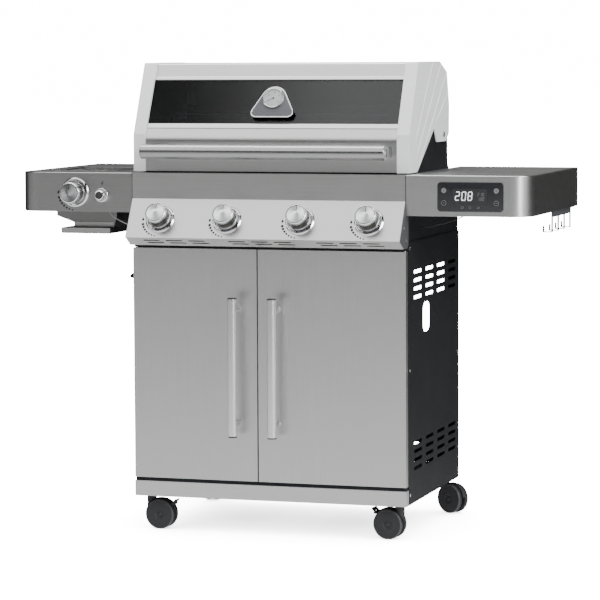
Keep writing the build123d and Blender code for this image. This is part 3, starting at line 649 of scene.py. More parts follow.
# ---- settings -----------------------------------------------------------------------------
def color_property(label, note, value):
    return bpy.props.FloatVectorProperty(name=label, description=note, default=value, subtype="COLOR",
                                         size=3, min=0.0, max=1.0)


def length_property(label, note, value):
    return bpy.props.FloatProperty(name=label, description=note, default=value, min=0.0001, max=0.2,
                                   unit="LENGTH", precision=4)


class GrillColors(bpy.types.PropertyGroup):
    stainless: color_property("Stainless steel", "Doors, shelves, control panel and lid", (0.60, 0.605, 0.60))
    cast: color_property("Cast ends", "The two cast ends of the lid", (0.95, 0.96, 0.965))
    coat: color_property("Black coat", "Powder coat on the cabinet sides and frame", (0.015, 0.016, 0.018))
    grey: color_property("Grey coat", "Powder coat on the control panel's end plates", (0.075, 0.078, 0.082))
    iron: color_property("Cast iron", "Cooking grates", (0.028, 0.028, 0.028))
    plastic: color_property("Plastic", "Castors and brake levers", (0.022, 0.023, 0.025))


class GrillSizes(bpy.types.PropertyGroup):
    sheet_edge: length_property("Sheet edge", "Rounding on the edges of folded sheet", 0.0005)
    door_edge: length_property("Door edge", "Rounding on the edges of the doors", 0.0018)
    cast_edge: length_property("Casting edge", "Rounding on the edges of the lid's cast ends", 0.0016)
    bar_radius: length_property("Door bar", "Radius of the upright door handles", 0.0115)
    mark_height: length_property("Print height", "How far printed marks stand off their surface", 0.00025)


def sizes():
    return bpy.context.scene.grill_sizes


# ---- stage --------------------------------------------------------------------------------
CAMERA_SPOT = (2.12896, -6.780655, 1.18896)
CAMERA_YAW, CAMERA_PITCH, CAMERA_ROLL = math.radians(17.358), math.radians(4.966), math.radians(-0.25)
CAMERA_LENS, SENSOR = 168.05, 36.0
CAMERA_SHIFT = (0.000225, -0.00167)
FLOOR_RADIUS = 60.0
FLOOR_GREY, FLOOR_GLOW, FLOOR_LIFT, SHADOW_REACH = 0.60, 20.0, 0.45, 0.30
FLOOR_DARK, DARK_SPAN = 0.25, (0.0, 1.2)         # the floor behind, and how far back it turns dark
ROOM_LIGHT, ROOM_SPAN, BACKDROP = (1.0, 0.60), (-0.95, 0.25), 20.0     # in front and behind
SILL_SIDE, SILL_LIGHT, SILL_SPAN = (-0.33, 0.93, 0.16), 1.6, (0.80, 0.99)      # a low window behind
# name, place, aim, width, height and watts
SOFTBOXES = [
    ("front_softbox", (-0.8, -2.8, 4.0), (0, 0, 0.8), 6.0, 3.4, 130),
    ("top_softbox", (0.0, 0.4, 4.0), (0, 0, 0.8), 4.0, 2.0, 150),
    ("right_softbox", (4.6, -2.0, 2.8), (0, 0, 0.8), 2.0, 2.2, 210),
    ("left_softbox", (-4.6, -3.4, 2.8), (0, 0, 0.6), 2.4, 2.6, 22),
    ("corner_strip", (4.4, -3.0, 1.4), (0.6, 0, 0.85), 0.9, 2.2, 45),
]


def area_light(name, spot, aim, width, height, power):
    lamp = bpy.data.lights.new(name, "AREA")
    lamp.shape = "RECTANGLE"
    lamp.size, lamp.size_y, lamp.energy = width, height, power
    made = bpy.data.objects.new(name, lamp)
    bpy.context.scene.collection.objects.link(made)
    made.location = spot
    made.rotation_mode = "QUATERNION"
    made.rotation_quaternion = (Vector(aim) - Vector(spot)).to_track_quat("-Z", "Y")
    made.visible_camera = False


def floor_paint():
    """Matt grey paint, dark behind the grill, that glows white to the camera and faintly to the rest; the
    camera's glow is dimmed by ambient occlusion, a painted contact shadow under the grill.
    """
    made = Finish("floor_paint", (FLOOR_GREY,) * 3, 0.9)
    ahead = smooth_range(made.tree, axis_parts(made.tree)[1], "Y", DARK_SPAN, (1.0, 0.0))
    made.tint((ahead, "Result"), (FLOOR_DARK,) * 3, (FLOOR_GREY,) * 3)
    lift = maths(made.tree, "MULTIPLY", (ahead, "Result"), FLOOR_LIFT)
    path = made.tree.nodes.new("ShaderNodeLightPath")
    # painted shadow: ambient occlusion darkens the floor's glow under and beside the grill
    painted_shadow = made.tree.nodes.new("ShaderNodeAmbientOcclusion")
    painted_shadow.inputs["Distance"].default_value = SHADOW_REACH
    painted_shadow.samples = 8
    open_floor = maths(made.tree, "MULTIPLY", (painted_shadow, "AO"), FLOOR_GLOW - FLOOR_LIFT)
    glow = maths(made.tree, "MULTIPLY_ADD", (open_floor, 0), 0.0)
    joined(made.tree, path, "Is Camera Ray", glow, 1)
    joined(made.tree, lift, 0, glow, 2)
    made.set("Emission Color", (1.0, 1.0, 1.0, 1.0))
    made.tree.links.new(glow.outputs[0], made.shader.inputs["Emission Strength"])
    return made.material


def studio_world(scene):
    """A room lighter in front of the grill than behind it, with a low window behind, white to the camera."""
    world = bpy.data.worlds.new("studio")
    scene.world = world
    world.use_nodes = True
    tree = world.node_tree
    room = tree.nodes["Background"]
    coords, parts = axis_parts(tree, "Generated")
    fade = smooth_range(tree, parts, "Y", ROOM_SPAN, ROOM_LIGHT)
    beyond = tree.nodes.new("ShaderNodeVectorMath")
    beyond.operation = "DOT_PRODUCT"
    beyond.inputs[1].default_value = SILL_SIDE
    joined(tree, coords, "Generated", beyond, 0)
    sill = smooth_range(tree, beyond, "Value", SILL_SPAN, (0.0, SILL_LIGHT))
    lit = maths(tree, "ADD", (fade, "Result"), (sill, "Result"))
    joined(tree, lit, 0, room, "Strength")
    backdrop = tree.nodes.new("ShaderNodeBackground")
    backdrop.inputs["Strength"].default_value = BACKDROP
    path = tree.nodes.new("ShaderNodeLightPath")
    mix = tree.nodes.new("ShaderNodeMixShader")
    joined(tree, path, "Is Camera Ray", mix, 0)
    tree.links.new(room.outputs[0], mix.inputs[1])
    tree.links.new(backdrop.outputs[0], mix.inputs[2])
    tree.links.new(mix.outputs[0], tree.nodes["World Output"].inputs[0])


class GRILL_OT_stage(bpy.types.Operator):
    """Makes the camera, the soft studio light and the plain pale floor."""

    bl_idname = "grill.stage"
    bl_label = "Stage"

    def execute(self, context):
        lens = bpy.data.cameras.new("camera")
        lens.lens, lens.sensor_width = CAMERA_LENS, SENSOR
        lens.shift_x, lens.shift_y = CAMERA_SHIFT
        lens.clip_end = 200.0
        camera = bpy.data.objects.new("camera", lens)
        context.scene.collection.objects.link(camera)
        turn = Euler((math.pi / 2 - CAMERA_PITCH, 0, CAMERA_YAW)).to_matrix()
        camera.rotation_euler = (turn @ Euler((0, 0, CAMERA_ROLL)).to_matrix()).to_euler()
        camera.location = CAMERA_SPOT
        context.scene.camera = camera

        rim = circle_outline(FLOOR_RADIUS / MM, 96)
        floor = Shape().plate(rim, Place((0, 0, 0), RIGHT, BACK), -40.0, 0.0, edge=1.0)
        mesh = bpy.data.meshes.new("floor")
        mesh.from_pydata(np.concatenate(floor.points), [], floor.faces)
        ground = bpy.data.objects.new("floor", mesh)
        context.scene.collection.objects.link(ground)
        mesh.materials.append(floor_paint())
        studio_world(context.scene)
        for name, spot, aim, width, height, power in SOFTBOXES:
            area_light(name, spot, aim, width, height, power)
        return {"FINISHED"}


# ---- leads --------------------------------------------------------------------------------
IGNITER_ROUTE = [(-433, 21, 843.6), (-433, 36, 843.6), (-434, 46, 834), (-437, 50, 820), (-436, 48, 805),
                 (-428, 46, 792), (-415, 43, 783), (-399, 39, 776), (-382, 35, 769.5), (-366, 31.5, 764),
                 (-352, 30.4, 762.2), (-343, 30.5, 762)]
DISPLAY_ROUTE = [(500, 20, 838), (500, 36, 838), (499, 52, 831), (496, 68, 821), (490, 83, 810),
                 (479, 96, 800.4), (465, 107, 792.6), (448, 115, 786), (430, 120, 780), (410, 123, 774.5),
                 (390, 125, 769.5), (370, 126.2, 766), (355, 126.1, 764.2), (342, 126, 764)]


def lead(name, node, route, diameter, finish_name):
    """One smooth NURBS line through the route, as thick as the lead."""
    points = at(*np.array(route, float).T)
    curve = bpy.data.curves.new(name, "CURVE")
    curve.dimensions = "3D"
    spline = curve.splines.new("NURBS")
    spline.points.add(len(points) - 1)
    spline.points.foreach_set("co", np.column_stack([points, np.ones(len(points))]).ravel())
    spline.order_u = 3
    spline.use_endpoint_u = True
    spline.resolution_u = 12
    curve.bevel_depth = diameter / 2
    curve.bevel_resolution = 5
    curve.use_fill_caps = True
    curve.materials.append(finish(finish_name))
    made = bpy.data.objects.new(name, curve)
    bpy.context.scene.collection.objects.link(made)
    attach(made, "cabinet")
    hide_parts(node)


class GRILL_OT_leads(bpy.types.Operator):
    """Runs the igniter's lead and the display's lead from the shelves into the cabinet."""

    bl_idname = "grill.leads"
    bl_label = "Leads"

    def execute(self, context):
        lead("igniter_lead_line", "igniter_lead", IGNITER_ROUTE, 0.0033, "grey_insulation")
        lead("display_lead_line", "display_lead", DISPLAY_ROUTE, 0.0030, "black_insulation")
        return {"FINISHED"}


# ---- cabinet ------------------------------------------------------------------------------
SEAM = (351.25, 274.0, 735.0)            # where a side panel and the frame sheet above it meet


class GRILL_OT_cabinet(bpy.types.Operator):
    """Finishes the folded sheets of the cabinet, and fills the seams below the frame sheets."""

    bl_idname = "grill.cabinet"
    bl_label = "Cabinet"

    def execute(self, context):
        edge = sizes().sheet_edge / MM
        dressed("black_coat", "side_panel_left", "side_panel_right", "frame_sides", "base_tray")
        for node in ("back_panel", "bottle_opener", "cross_rails"):
            eased(node, ["black_coat"], edge)
        eased("plinth_panel", ["steel_across"], edge)
        seams = Shape()
        for hand in (-1, 1):
            seams.plate(box_outline(480, 2.0, 0.2, 1), Place(at(hand * SEAM[0], SEAM[1], SEAM[2]), BACK, UP),
                        -1.2, 1.2, 0.1, steps=1)
        piece("panel_seams", seams, ["black_coat"], "cabinet")
        return {"FINISHED"}


class GRILL_OT_shelves(bpy.types.Operator):
    """Finishes the two side shelves, the tool hooks and the side burner's box and shield."""

    bl_idname = "grill.shelves"
    bl_label = "Side shelves"

    def execute(self, context):
        edge = sizes().sheet_edge / MM
        # the left shelf's darker stainless is painted shade
        eased("shelf_left", ["steel_left_painted_shade"], edge)
        for node in ("shelf_right", "side_burner_shield"):
            eased(node, ["steel_across"], edge)
        # the box's darker stainless is painted shade
        eased("side_burner_box", ["steel_box_painted_shade"], edge)
        eased("tool_hooks", ["grey_coat"], edge)
        return {"FINISHED"}


SIDE_GRATE_X = -0.40                     # the side burner's grate lies left of this


class GRILL_OT_fire(bpy.types.Operator):
    """Finishes the firebox, burners, flame tamers, grates, warming rack, gas pipes and grease tray."""

    bl_idname = "grill.fire"
    bl_label = "Fire and gas"

    def execute(self, context):
        grates = eased("cooking_grates", ["cast_iron", "steel_inner"], 1.0)
        middles = np.empty(len(grates.data.polygons) * 3, np.float32)
        grates.data.polygons.foreach_get("center", middles)
        beside = middles.reshape(-1, 3)[:, 0] < SIDE_GRATE_X
        grates.data.polygons.foreach_set("material_index", beside.astype(np.int32))
        eased("firebox", ["black_coat"], 0.6)
        for node, edge in (("grease_tray", 0.5), ("flame_tamers", 0.3)):
            eased(node, ["steel_inner"], edge)
        dressed("steel_inner", "gas_burners", *(f"valve_stem_{tag}" for tag in KNOBS))
        dressed("chrome", "warming_rack")
        dressed("brass", "gas_manifold")
        return {"FINISHED"}


class GRILL_OT_fasteners(bpy.types.Operator):
    """Finishes the screws and hinge pins."""

    bl_idname = "grill.fasteners"
    bl_label = "Fasteners"

    def execute(self, context):
        eased("fasteners", ["chrome"], 0.5)
        return {"FINISHED"}


# ---- doors --------------------------------------------------------------------------------
BARS = {"left": -78.0, "right": 24.0}
BAR_Y, BAR_LOW, BAR_HIGH, POST_INSET, POST_RADIUS = -45.0, 250.0, 596.0, 30.0, 6.5


class GRILL_OT_doors(bpy.types.Operator):
    """Makes the two doors and their upright bar handles."""

    bl_idname = "grill.doors"
    bl_label = "Doors and handles"

    def execute(self, context):
        radius = sizes().bar_radius / MM
        for side, x in BARS.items():
            eased(f"door_{side}", ["steel_upright"], sizes().door_edge / MM, 3)
            bar = Shape()
            foot = Place(at(x, BAR_Y, BAR_LOW), RIGHT, BACK)
            long = BAR_HIGH - BAR_LOW
            bar.turned([(0, 3), (radius - 0.3, 3), (radius, 3.3), (radius, long - 3.3), (radius - 0.3, long - 3),
                        (0, long - 3)], foot, 0, 48)
            for low in (0, long - 2.6):
                bar.turned(round_profile(radius - 0.2, low, low + 2.6, 0.8), foot, 2, 48)
            for z in (BAR_LOW + POST_INSET, BAR_HIGH - POST_INSET):
                bar.rod(at(x, BAR_Y, z), at(x, -0.1, z), POST_RADIUS, 0.4, 1, 32)
                bar.turned(round_profile(POST_RADIUS + 2.2, 0, 2.4, 0.7), Place(at(x, -0.1, z), RIGHT, UP), 1, 32)
            piece(f"door_bar_{side}", bar, ["steel_bar_painted_light", "steel_upright", "black_plastic"], f"door_{side}",
                  [f"door_handle_{side}"])
        return {"FINISHED"}


# ---- control panel ------------------------------------------------------------------------
DOT_ORBIT, DOT_FIRST, DOT_STEP, DOT_COUNT = 45.5, math.radians(197.5), math.radians(10.4), 7
DOT_LARGE, DOT_SMALL = 3.6, 2.0


def flame_outline(height):
    """A drop: half width h/2.6 sin(pi (0.12 + 0.88 t))^0.8 (1 - t)^0.35 at t up it, leaning h/8 sin(pi t)."""
    t = np.linspace(0, 1, 14)[:-1]
    half = height / 2.6 * np.sin(math.pi * (0.12 + 0.88 * t)) ** 0.8 * (1 - t) ** 0.35
    lean = 0.12 * height * np.sin(math.pi * t)
    right = np.stack([half + lean, t * height - height / 2], -1)
    left = np.stack([-half + lean, t * height - height / 2], -1)[::-1]
    return np.concatenate([right, [(0.0, height / 2)], left])


SPARK = [(1.6, 6.5), (-3.2, -0.6), (-0.4, -0.6), (-1.8, -6.5), (3.2, 1.0), (0.4, 1.0), (3.6, 6.5)]


class GRILL_OT_panel(bpy.types.Operator):
    """Finishes the control panel and its end plates, and prints the marks round the knobs."""

    bl_idname = "grill.panel"
    bl_label = "Control panel"

    def execute(self, context):
        dressed("steel_across", "control_panel")
        eased("panel_end_plates", ["grey_coat"], 0.5)
        lift = sizes().mark_height / MM
        marks = Shape()
        under, edge = -0.2, 0.03
        for place in KNOBS.values():
            for i in range(DOT_COUNT):
                angle = DOT_FIRST + i * DOT_STEP
                radius = DOT_LARGE + (DOT_SMALL - DOT_LARGE) * i / (DOT_COUNT - 1)
                spot = place.moved(DOT_ORBIT * math.cos(angle), DOT_ORBIT * math.sin(angle))
                marks.plate(circle_outline(radius, 20), spot, under, lift, edge, steps=1)
            marks.plate(flame_outline(9.0), place.moved(-DOT_ORBIT, 0.5), under, lift, edge, steps=1)
        marks.plate(np.array(SPARK), IGNITER.moved(0, 29), under, lift, edge, steps=1)
        piece("panel_marks", marks, ["dark_print"], "cabinet")
        return {"FINISHED"}


# (radius, height above the panel) of the parts of a knob, from its bore round to the middle of its face
KNOB_SKIRT = [(0, 30.4), (4.06, 30.4), (4.06, 5.5), (27.6, 5.5), (28.3, 5.9), (28.5, 6.7), (28.3, 9.0),
              (27.6, 13.0)]
# the body's dark spun metal is a painted dark reflection
KNOB_BODY = [(27.6, 13.0), (27.3, 15.0), (26.7, 21.0), (26.4, 27.0), (26.4, 30.8), (25.7, 31.3), (25.7, 32.2)]
KNOB_CAP = [(25.7, 32.2), (26.6, 32.7), (26.8, 33.6), (26.6, 38.0), (26.2, 40.4), (25.4, 41.7), (24.2, 42.4),
            (23.6, 42.5)]
# the groove round the face is finished in dark print: painted shade in the groove
KNOB_GROOVE = [(23.6, 42.5), (23.3, 41.7), (22.7, 41.6), (22.4, 41.9)]
KNOB_DISC = [(22.4, 41.9), (12.0, 42.0), (0, 42.1)]
KNOB_PARTS = ((KNOB_SKIRT, 0), (KNOB_BODY, 3), (KNOB_CAP, 0), (KNOB_GROOVE, 2), (KNOB_DISC, 1))
BEZEL = [(12.0, 0.05), (36.4, 0.05), (37.0, 0.6), (37.0, 1.5), (36.4, 2.1), (35.6, 2.6), (34.6, 3.9), (33.4, 4.5),
         (32.0, 4.3), (30.6, 3.0), (30.0, 2.0), (29.4, 1.6), (12.0, 1.6)]


class GRILL_OT_knobs(bpy.types.Operator):
    """Turns the five knobs and their bezels."""

    bl_idname = "grill.knobs"
    bl_label = "Knobs"

    def execute(self, context):
        for tag, place in KNOBS.items():
            knob = Shape()
            for profile, paint in KNOB_PARTS:
                knob.turned(profile, place, paint, 96)
            knob.plate(slot_outline(15.0, 1.5, math.pi / 2), place.moved(0, 15.5), 41.9, 42.25, 0.1, 2)
            piece(f"knob_body_{tag}", knob, ["spun_chrome", "spun_face", "dark_print", "spun_side_painted_dark"],
                  f"knob_{tag}", [f"knob_{tag}"], 30, place)
        bezels = Shape()
        for place in KNOBS.values():
            bezels.turned(BEZEL, place, 0, 96, loop=True)
        collar = [(13.6, 9.0), (13.6, -7.0), (8.3, -7.0), (8.3, -22.0), (15.8, -22.0), (15.8, 0.05), (17.5, 0.05),
                  (17.5, 8.0), (16.8, 8.8), (15.8, 9.3), (14.4, 9.3)]
        bezels.turned(collar, IGNITER, 0, 72, loop=True)
        piece("bezel_rings", bezels, ["chrome"], "cabinet", ["knob_bezels"])
        button = Shape()
        button.turned([(0, -15), (8, -15), (8, -1), (13, -1), (13, 20), (12.6, 22), (11.4, 23.5), (10.0, 24.0),
                       (9.4, 23.8)], IGNITER, 1, 64)
        button.turned([(9.4, 23.8), (8.9, 22.2), (7.6, 22.0), (7.2, 22.6), (0, 22.9)], IGNITER, 0, 64)
        piece("igniter_cap", button, ["black_plastic", "chrome"], "igniter_button",
              ["igniter_button"], 30)
        return {"FINISHED"}


# ---- display ------------------------------------------------------------------------------
SEGMENTS = {"0": "abcdef", "1": "bc", "2": "abged", "8": "abcdefg"}


def digit(shape, place, text, width, height, stroke, paint, lift):
    """A seven-segment digit that leans right by a tenth of its height."""
    w, h = width / 2, height / 2
    bars = {"a": (0, h, 0), "g": (0, 0, 0), "d": (0, -h, 0), "b": (w, h / 2, 1), "c": (w, -h / 2, 1),
            "f": (-w, h / 2, 1), "e": (-w, -h / 2, 1)}
    for key in SEGMENTS[text]:
        x, y, is_upright = bars[key]
        length = (h if is_upright else width) - 0.25 * stroke
        outline = slot_outline(length, stroke, math.pi / 2 * is_upright, 5)
        outline = outline + (x, y)
        outline[:, 0] += 0.10 * outline[:, 1]
        shape.plate(outline, place, 0.0, lift, 0.03, paint, 1)


class GRILL_OT_display(bpy.types.Operator):
    """Makes the temperature display with its touch keys."""

    bl_idname = "grill.display"
    bl_label = "Display"

    def execute(self, context):
        unit = Shape()
        unit.plate(box_outline(163, 71, 8), DISPLAY, 0.05, 2.6, 0.8)
        unit.plate(box_outline(146, 56, 3), DISPLAY, -23.0, 0.05, 0.3)
        unit.plate(box_outline(84, 36, 2), DISPLAY.moved(-1, 1.5), 2.6, 2.66, 0.02, 1, 1)
        face = DISPLAY.moved(0, 0, 2.68)
        for text, x in zip("208", (-31.4, -15.9, -0.4)):
            digit(unit, face.moved(x, 2.3), text, 9.0, 20.0, 2.2, 2, 0.1)
        for row, text in ((6.3, "210"), (-4.6, "180")):
            for i, mark in enumerate(text):
                digit(unit, face.moved(20.0 + 6.0 * i, row), mark, 3.4, 7.6, 0.9, 3, 0.06)
        for x, y in ((-65.4, 15.4), (-65.4, -14.6), (64.4, 15.4), (64.4, -14.6)):
            spot = face.moved(x, y)
            if y > 0:
                unit.plate(circle_outline(6.4, 40), spot, 0, 0.08, 0.03, 3, 1)
                unit.plate(slot_outline(4.4, 1.0, math.pi / 2), spot.moved(0, 0.6), 0.08, 0.14, 0.02, 1, 1)
            else:
                unit.ring(circle_outline(6.4, 40), circle_outline(5.4, 40), spot, 0, 0.08, 0.03, 3)
                unit.plate(slot_outline(5.2, 1.0), spot, 0, 0.08, 0.03, 3, 1)
        for x in (-19.5, -0.5, 20.0):
            spot = face.moved(x, -25.5)
            unit.ring(box_outline(6.0, 4.6, 1.2, 3), box_outline(4.6, 3.2, 0.6, 3), spot, 0, 0.06, 0.02, 4)
        piece("display_panel", unit, ["gloss_black", "dark_print", "lit_digits", "key_print", "key_print"],
              "cabinet", ["display_unit"])
        return {"FINISHED"}


# ---- lid ----------------------------------------------------------------------------------
LID_HALF, LID_SHEET = 324.8, 1.5
SILL, HEAD = -1.0, 124.8
TRIM_LOW, TRIM_HIGH, TRIM_PROUD = (-11.3, 1.0), (122.8, 132.0), 2.2


def slope_point(s):
    """(y, z) of the point s mm up the window's slope."""
    return 38 + s * math.sin(LID_LEAN), 1020 + s * math.cos(LID_LEAN)


class GRILL_OT_lid(bpy.types.Operator):
    """Folds the lid's two sheets, and makes the window's trims, glass and seals."""

    bl_idname = "grill.lid"
    bl_label = "Lid and window"

    def execute(self, context):
        foot = 18 / math.tan(LID_LEAN)
        lower = rounded([(20, 904), (20, 1020 - foot), slope_point(SILL)], [0, 40, 0], closed=False, steps=16)
        top = 152 / math.cos(LID_LEAN)
        upper = rounded([slope_point(HEAD), slope_point(top), (316, 1172), (387, 1146), (410, 1061), (408, 990)],
                        [0, 12, 20, 20, 15, 0], closed=False, steps=10)
        shell = Shape()
        for path in (lower, upper):
            shell.plate(sheet_outline(path, LID_SHEET), upright(0), -LID_HALF, LID_HALF, 0.3, steps=2)
        piece("lid_shell", shell, ["steel_across"], "lid", ["lid_panels"], 20)
        dressed("smoked_glass", "lid_window")
        trims = Shape()
        for low, high in (TRIM_LOW, TRIM_HIGH):
            middle = WINDOW.moved(0, (low + high) / 2)
            trims.plate(box_outline(649, high - low, 1.2, 3), middle, 0.02, TRIM_PROUD, 0.9, 0)
        for s in (TRIM_LOW[1] + 1.2, TRIM_HIGH[0] - 1.2):
            trims.plate(box_outline(648, 2.4, 0.4, 2), WINDOW.moved(0, s), 0.02, 0.9, 0.3, 1)
        piece("window_frame", trims, ["chrome", "dark_print"], "lid", ["window_trims"])
        return {"FINISHED"}


class GRILL_OT_lid_ends(bpy.types.Operator):
    """Makes the lid's two cast ends."""

    bl_idname = "grill.lid_ends"
    bl_label = "Lid ends"

    def execute(self, context):
        for side in ("left", "right"):
            eased(f"lid_cap_{side}", ["cast_silver"], sizes().cast_edge / MM, 3)
        return {"FINISHED"}


GRIP_HALF, GRIP_BLOCK, GRIP_Y, GRIP_Z = 313.5, 279.0, -40.0, 954.0


class GRILL_OT_grip(bpy.types.Operator):
    """Makes the lid's long tubular handle and its two brackets."""

    bl_idname = "grill.grip"
    bl_label = "Lid handle"

    def execute(self, context):
        grip = Shape()
        axis = Place(at(-GRIP_HALF, GRIP_Y, GRIP_Z), BACK, UP)
        long = 2 * GRIP_HALF
        tube = [(9, 3), (9, 0.8), (9.6, 0), (16.6, 0), (18, 1.4), (18, long - 1.4), (16.6, long), (9.6, long),
                (9, long - 0.8), (9, long - 3)]
        grip.turned([(0, 3)] + tube + [(0, long - 3)], axis, 0, 72)
        for hand in (-1, 1):
            screw = Place(at(hand * (GRIP_HALF - 3.2), GRIP_Y, GRIP_Z), (0, hand, 0), UP)
            grip.turned(round_profile(6.0, 0, 2.6, 0.8), screw, 1, 32)
            middle = hand * (GRIP_HALF + GRIP_BLOCK) / 2
            block = Place(at(middle, 20.2, GRIP_Z), RIGHT, UP)
            grip.plate(box_outline(GRIP_HALF - GRIP_BLOCK, 28, 5), block, 0, 60, 1.0, 0)
        piece("lid_grip", grip, ["steel_handle_painted_shade", "chrome"], "lid", ["lid_handle"])
        return {"FINISHED"}


PLATE_ARCS = [(0.0, 0.0, 33.0), (-41.0, -37.0, 14.0), (41.0, -37.0, 14.0)]
NEEDLE_REST, DIAL_SWEEP, MAJOR_TICKS = math.radians(207), math.radians(240), 9


def hull_outline(arcs, shrink=0.0, steps=90):
    """The band stretched round discs: for each direction d, the disc with most c.d + r gives c + r d."""
    angle = np.arange(steps) * 2 * math.pi / steps
    out = np.stack([np.cos(angle), np.sin(angle)], -1)
    spots, radii = np.array([arc[:2] for arc in arcs]), np.array([arc[2] for arc in arcs]) - shrink
    best = np.argmax(out @ spots.T + radii, axis=1)
    return spots[best] + radii[best, None] * out


def numeral(text, place, height, angle_at, orbit):
    """Mesh points and faces of a dial number, standing upright at an angle on the dial."""
    curve = bpy.data.curves.new("numeral", "FONT")
    curve.body, curve.size = text, height
    curve.align_x, curve.align_y = "CENTER", "CENTER"
    curve.extrude = 0.03
    holder = bpy.data.objects.new("numeral", curve)
    bpy.context.scene.collection.objects.link(holder)
    bpy.context.view_layer.update()
    mesh = bpy.data.meshes.new_from_object(holder.evaluated_get(bpy.context.evaluated_depsgraph_get()))
    flat = np.empty(len(mesh.vertices) * 3, np.float32)
    mesh.vertices.foreach_get("co", flat)
    flat = flat.reshape(-1, 3)
    faces = [list(face.vertices) for face in mesh.polygons]
    x, y, z = flat.T
    points = place.put(x + orbit * math.cos(angle_at), y + orbit * math.sin(angle_at), z)
    bpy.data.objects.remove(holder)
    return points, faces


class GRILL_OT_gauge(bpy.types.Operator):
    """Makes the lid's temperature gauge on its plate, with ticks, numbers, glass and needle."""

    bl_idname = "grill.gauge"
    bl_label = "Temperature gauge"

    def execute(self, context):
        gauge = Shape()
        gauge.plate(hull_outline(PLATE_ARCS, 2.6), DIAL, 8.0, 11.8, 0.3, 0)
        gauge.ring(hull_outline(PLATE_ARCS), hull_outline(PLATE_ARCS, 2.8), DIAL, 7.9, 12.6, 0.8, 1)
        gauge.turned(round_profile(24, 0.1, 8.0, 0.5), DIAL, 4, 48)
        gauge.turned([(27, 11.7), (27.0, 16.6), (26.4, 17.7), (25.6, 18), (24.9, 17.7), (24.4, 16.8), (24.4, 14),
                      (24.0, 11.7)], DIAL, 1, 72, loop=True)
        gauge.turned(round_profile(24.3, 13.6, 14.2, 0.1), DIAL, 2, 64)
        face = DIAL.moved(0, 0, 14.25)
        for i in range(4 * (MAJOR_TICKS - 1) + 1):
            angle = NEEDLE_REST - DIAL_SWEEP * i / (4 * (MAJOR_TICKS - 1))
            long = 3.2 if i % 4 == 0 else 1.6
            mark = slot_outline(long, 0.55 if i % 4 == 0 else 0.3, angle, 4)
            spot = face.moved((22.8 - long / 2) * math.cos(angle), (22.8 - long / 2) * math.sin(angle))
            gauge.plate(mark, spot, 0, 0.08, 0.02, 3, 1)
        for i in range(0, MAJOR_TICKS, 2):
            angle = NEEDLE_REST - DIAL_SWEEP * i / (MAJOR_TICKS - 1)
            points, faces = numeral(str(50 * i), face, 4.0, angle, 15.2)
            start = gauge.count
            gauge.points.append(points)
            gauge.faces += [[start + corner for corner in face_corners] for face_corners in faces]
            gauge.paint += [3] * len(faces)
            gauge.count += len(points)
        gauge.turned([(0, -45), (1.2, -45), (3, -42), (3, 0.1), (0, 0.1)], DIAL, 4, 24)
        gauge.plate(circle_outline(14.5, 6), DIAL, -10, -4.02, 0.5, 4)
        piece("gauge_body", gauge, ["plate_grey", "chrome", "dial_card", "dark_print", "steel_inner"], "lid",
              ["temperature_gauge"])
        glass = Shape().turned(round_profile(24.35, 16.9, 17.5, 0.15), DIAL, 0, 64)
        piece("gauge_glass", glass, ["dial_glass"], "lid")
        needle = Shape()
        needle.turned(round_profile(2.6, 14.6, 16.4, 0.5), DIAL, 0, 32)
        tip = 21.5 * np.array([math.cos(NEEDLE_REST), math.sin(NEEDLE_REST)])
        side = 1.2 * np.array([-math.sin(NEEDLE_REST), math.cos(NEEDLE_REST)])
        needle.plate(np.array([side, tip + 0.2 * side, tip - 0.2 * side, -side]), DIAL, 15.2, 15.8, 0.1, 0, 1)
        piece("gauge_pointer", needle, ["dark_print"], "gauge_needle", ["gauge_needle"])
        return {"FINISHED"}


# ---- castors ------------------------------------------------------------------------------
TRAIL, WHEEL_RADIUS = 27.0, 38.0
CASTORS = {"front_left": (-325, 45, -4.0), "front_right": (325, 45, 171.5), "rear_left": (-325, 490, 90.0),
           "rear_right": (325, 490, -26.4)}
# (radius, distance from the middle) of a wheel's inner side and tread, its rim, and its outer side
WHEEL_TREAD = [(0, 5.7), (35, 5.7), (36.8, 6.3), (37.7, 7.4), (38, 9), (38, 14.2)]
WHEEL_RIM = [(38, 14.2), (37.9, 16.4), (37.4, 17.6), (36.4, 18.4), (35.0, 18.7)]
WHEEL_SIDE = [(35.0, 18.7), (34.2, 18.3), (33.4, 17.8), (24.0, 18.4), (12.4, 18.7), (11.4, 18.1), (10.4, 16.9),
              (6.4, 16.7), (5.6, 17.6), (4.6, 18.2), (0, 18.3)]


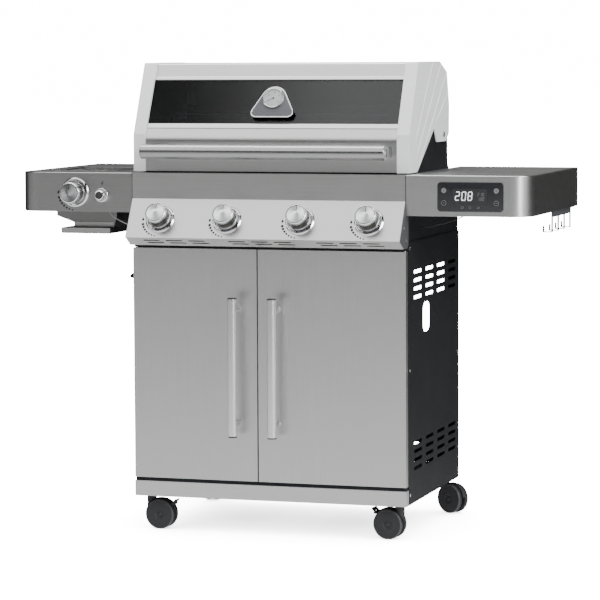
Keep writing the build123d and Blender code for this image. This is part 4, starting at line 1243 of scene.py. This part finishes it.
class GRILL_OT_castors(bpy.types.Operator):
    """Makes the four twin-wheel castors and the brake levers of the front two."""

    bl_idname = "grill.castors"
    bl_label = "Castors"

    def execute(self, context):
        for tag, (x, y, heading) in CASTORS.items():
            ahead = (math.cos(math.radians(heading)), math.sin(math.radians(heading)), 0)
            hub = Place(at(x, y, WHEEL_RADIUS) + TRAIL * MM * np.array(ahead), ahead, UP)
            other = Place(hub.origin, -hub.u, hub.v)
            wheels = Shape()
            for face in (hub, other):
                for profile, paint in ((WHEEL_TREAD, 0), (WHEEL_RIM, 2), (WHEEL_SIDE, 0)):
                    wheels.turned(profile, face, paint, 72)
            wheels.turned([(0, -8), (4, -8), (4, 8), (0, 8)], hub, 1, 24)
            piece(f"wheel_pair_{tag}", wheels, ["tyre", "steel_inner", "rim_plastic"], f"wheels_{tag}",
                  [f"castor_wheels_{tag}"])
            parts = ("castor_housing", "brake_lever") if tag.startswith("front") else ("castor_housing",)
            for part in parts:
                eased(f"{part}_{tag}", ["black_plastic"], 0.8)
        return {"FINISHED"}


# ---- panel in the sidebar -----------------------------------------------------------------
PIECES = (GRILL_OT_stage, GRILL_OT_leads, GRILL_OT_cabinet, GRILL_OT_shelves, GRILL_OT_fire, GRILL_OT_fasteners,
          GRILL_OT_doors, GRILL_OT_panel, GRILL_OT_knobs, GRILL_OT_display, GRILL_OT_lid, GRILL_OT_lid_ends,
          GRILL_OT_grip, GRILL_OT_gauge, GRILL_OT_castors)


class GRILL_PT_panel(bpy.types.Panel):
    """Lists the grill's settings and its building steps."""

    bl_label = "Gas barbecue grill"
    bl_space_type = "VIEW_3D"
    bl_region_type = "UI"
    bl_category = "Grill"

    def draw(self, context):
        for settings in (context.scene.grill_colors, context.scene.grill_sizes):
            for name in settings.__annotations__:
                self.layout.prop(settings, name)
        for operator in PIECES:
            self.layout.operator(operator.bl_idname)


CLASSES = (GrillColors, GrillSizes, *PIECES, GRILL_PT_panel)


def register():
    for item in CLASSES:
        bpy.utils.register_class(item)
    bpy.types.Scene.grill_colors = bpy.props.PointerProperty(type=GrillColors)
    bpy.types.Scene.grill_sizes = bpy.props.PointerProperty(type=GrillSizes)


def unregister():
    del bpy.types.Scene.grill_sizes
    del bpy.types.Scene.grill_colors
    for item in reversed(CLASSES):
        bpy.utils.unregister_class(item)


def main():
    """Register the add-on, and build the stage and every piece."""
    register()
    for operator in PIECES:
        group, name = operator.bl_idname.split(".")
        getattr(getattr(bpy.ops, group), name)()


if __name__ == "__main__":
    main()
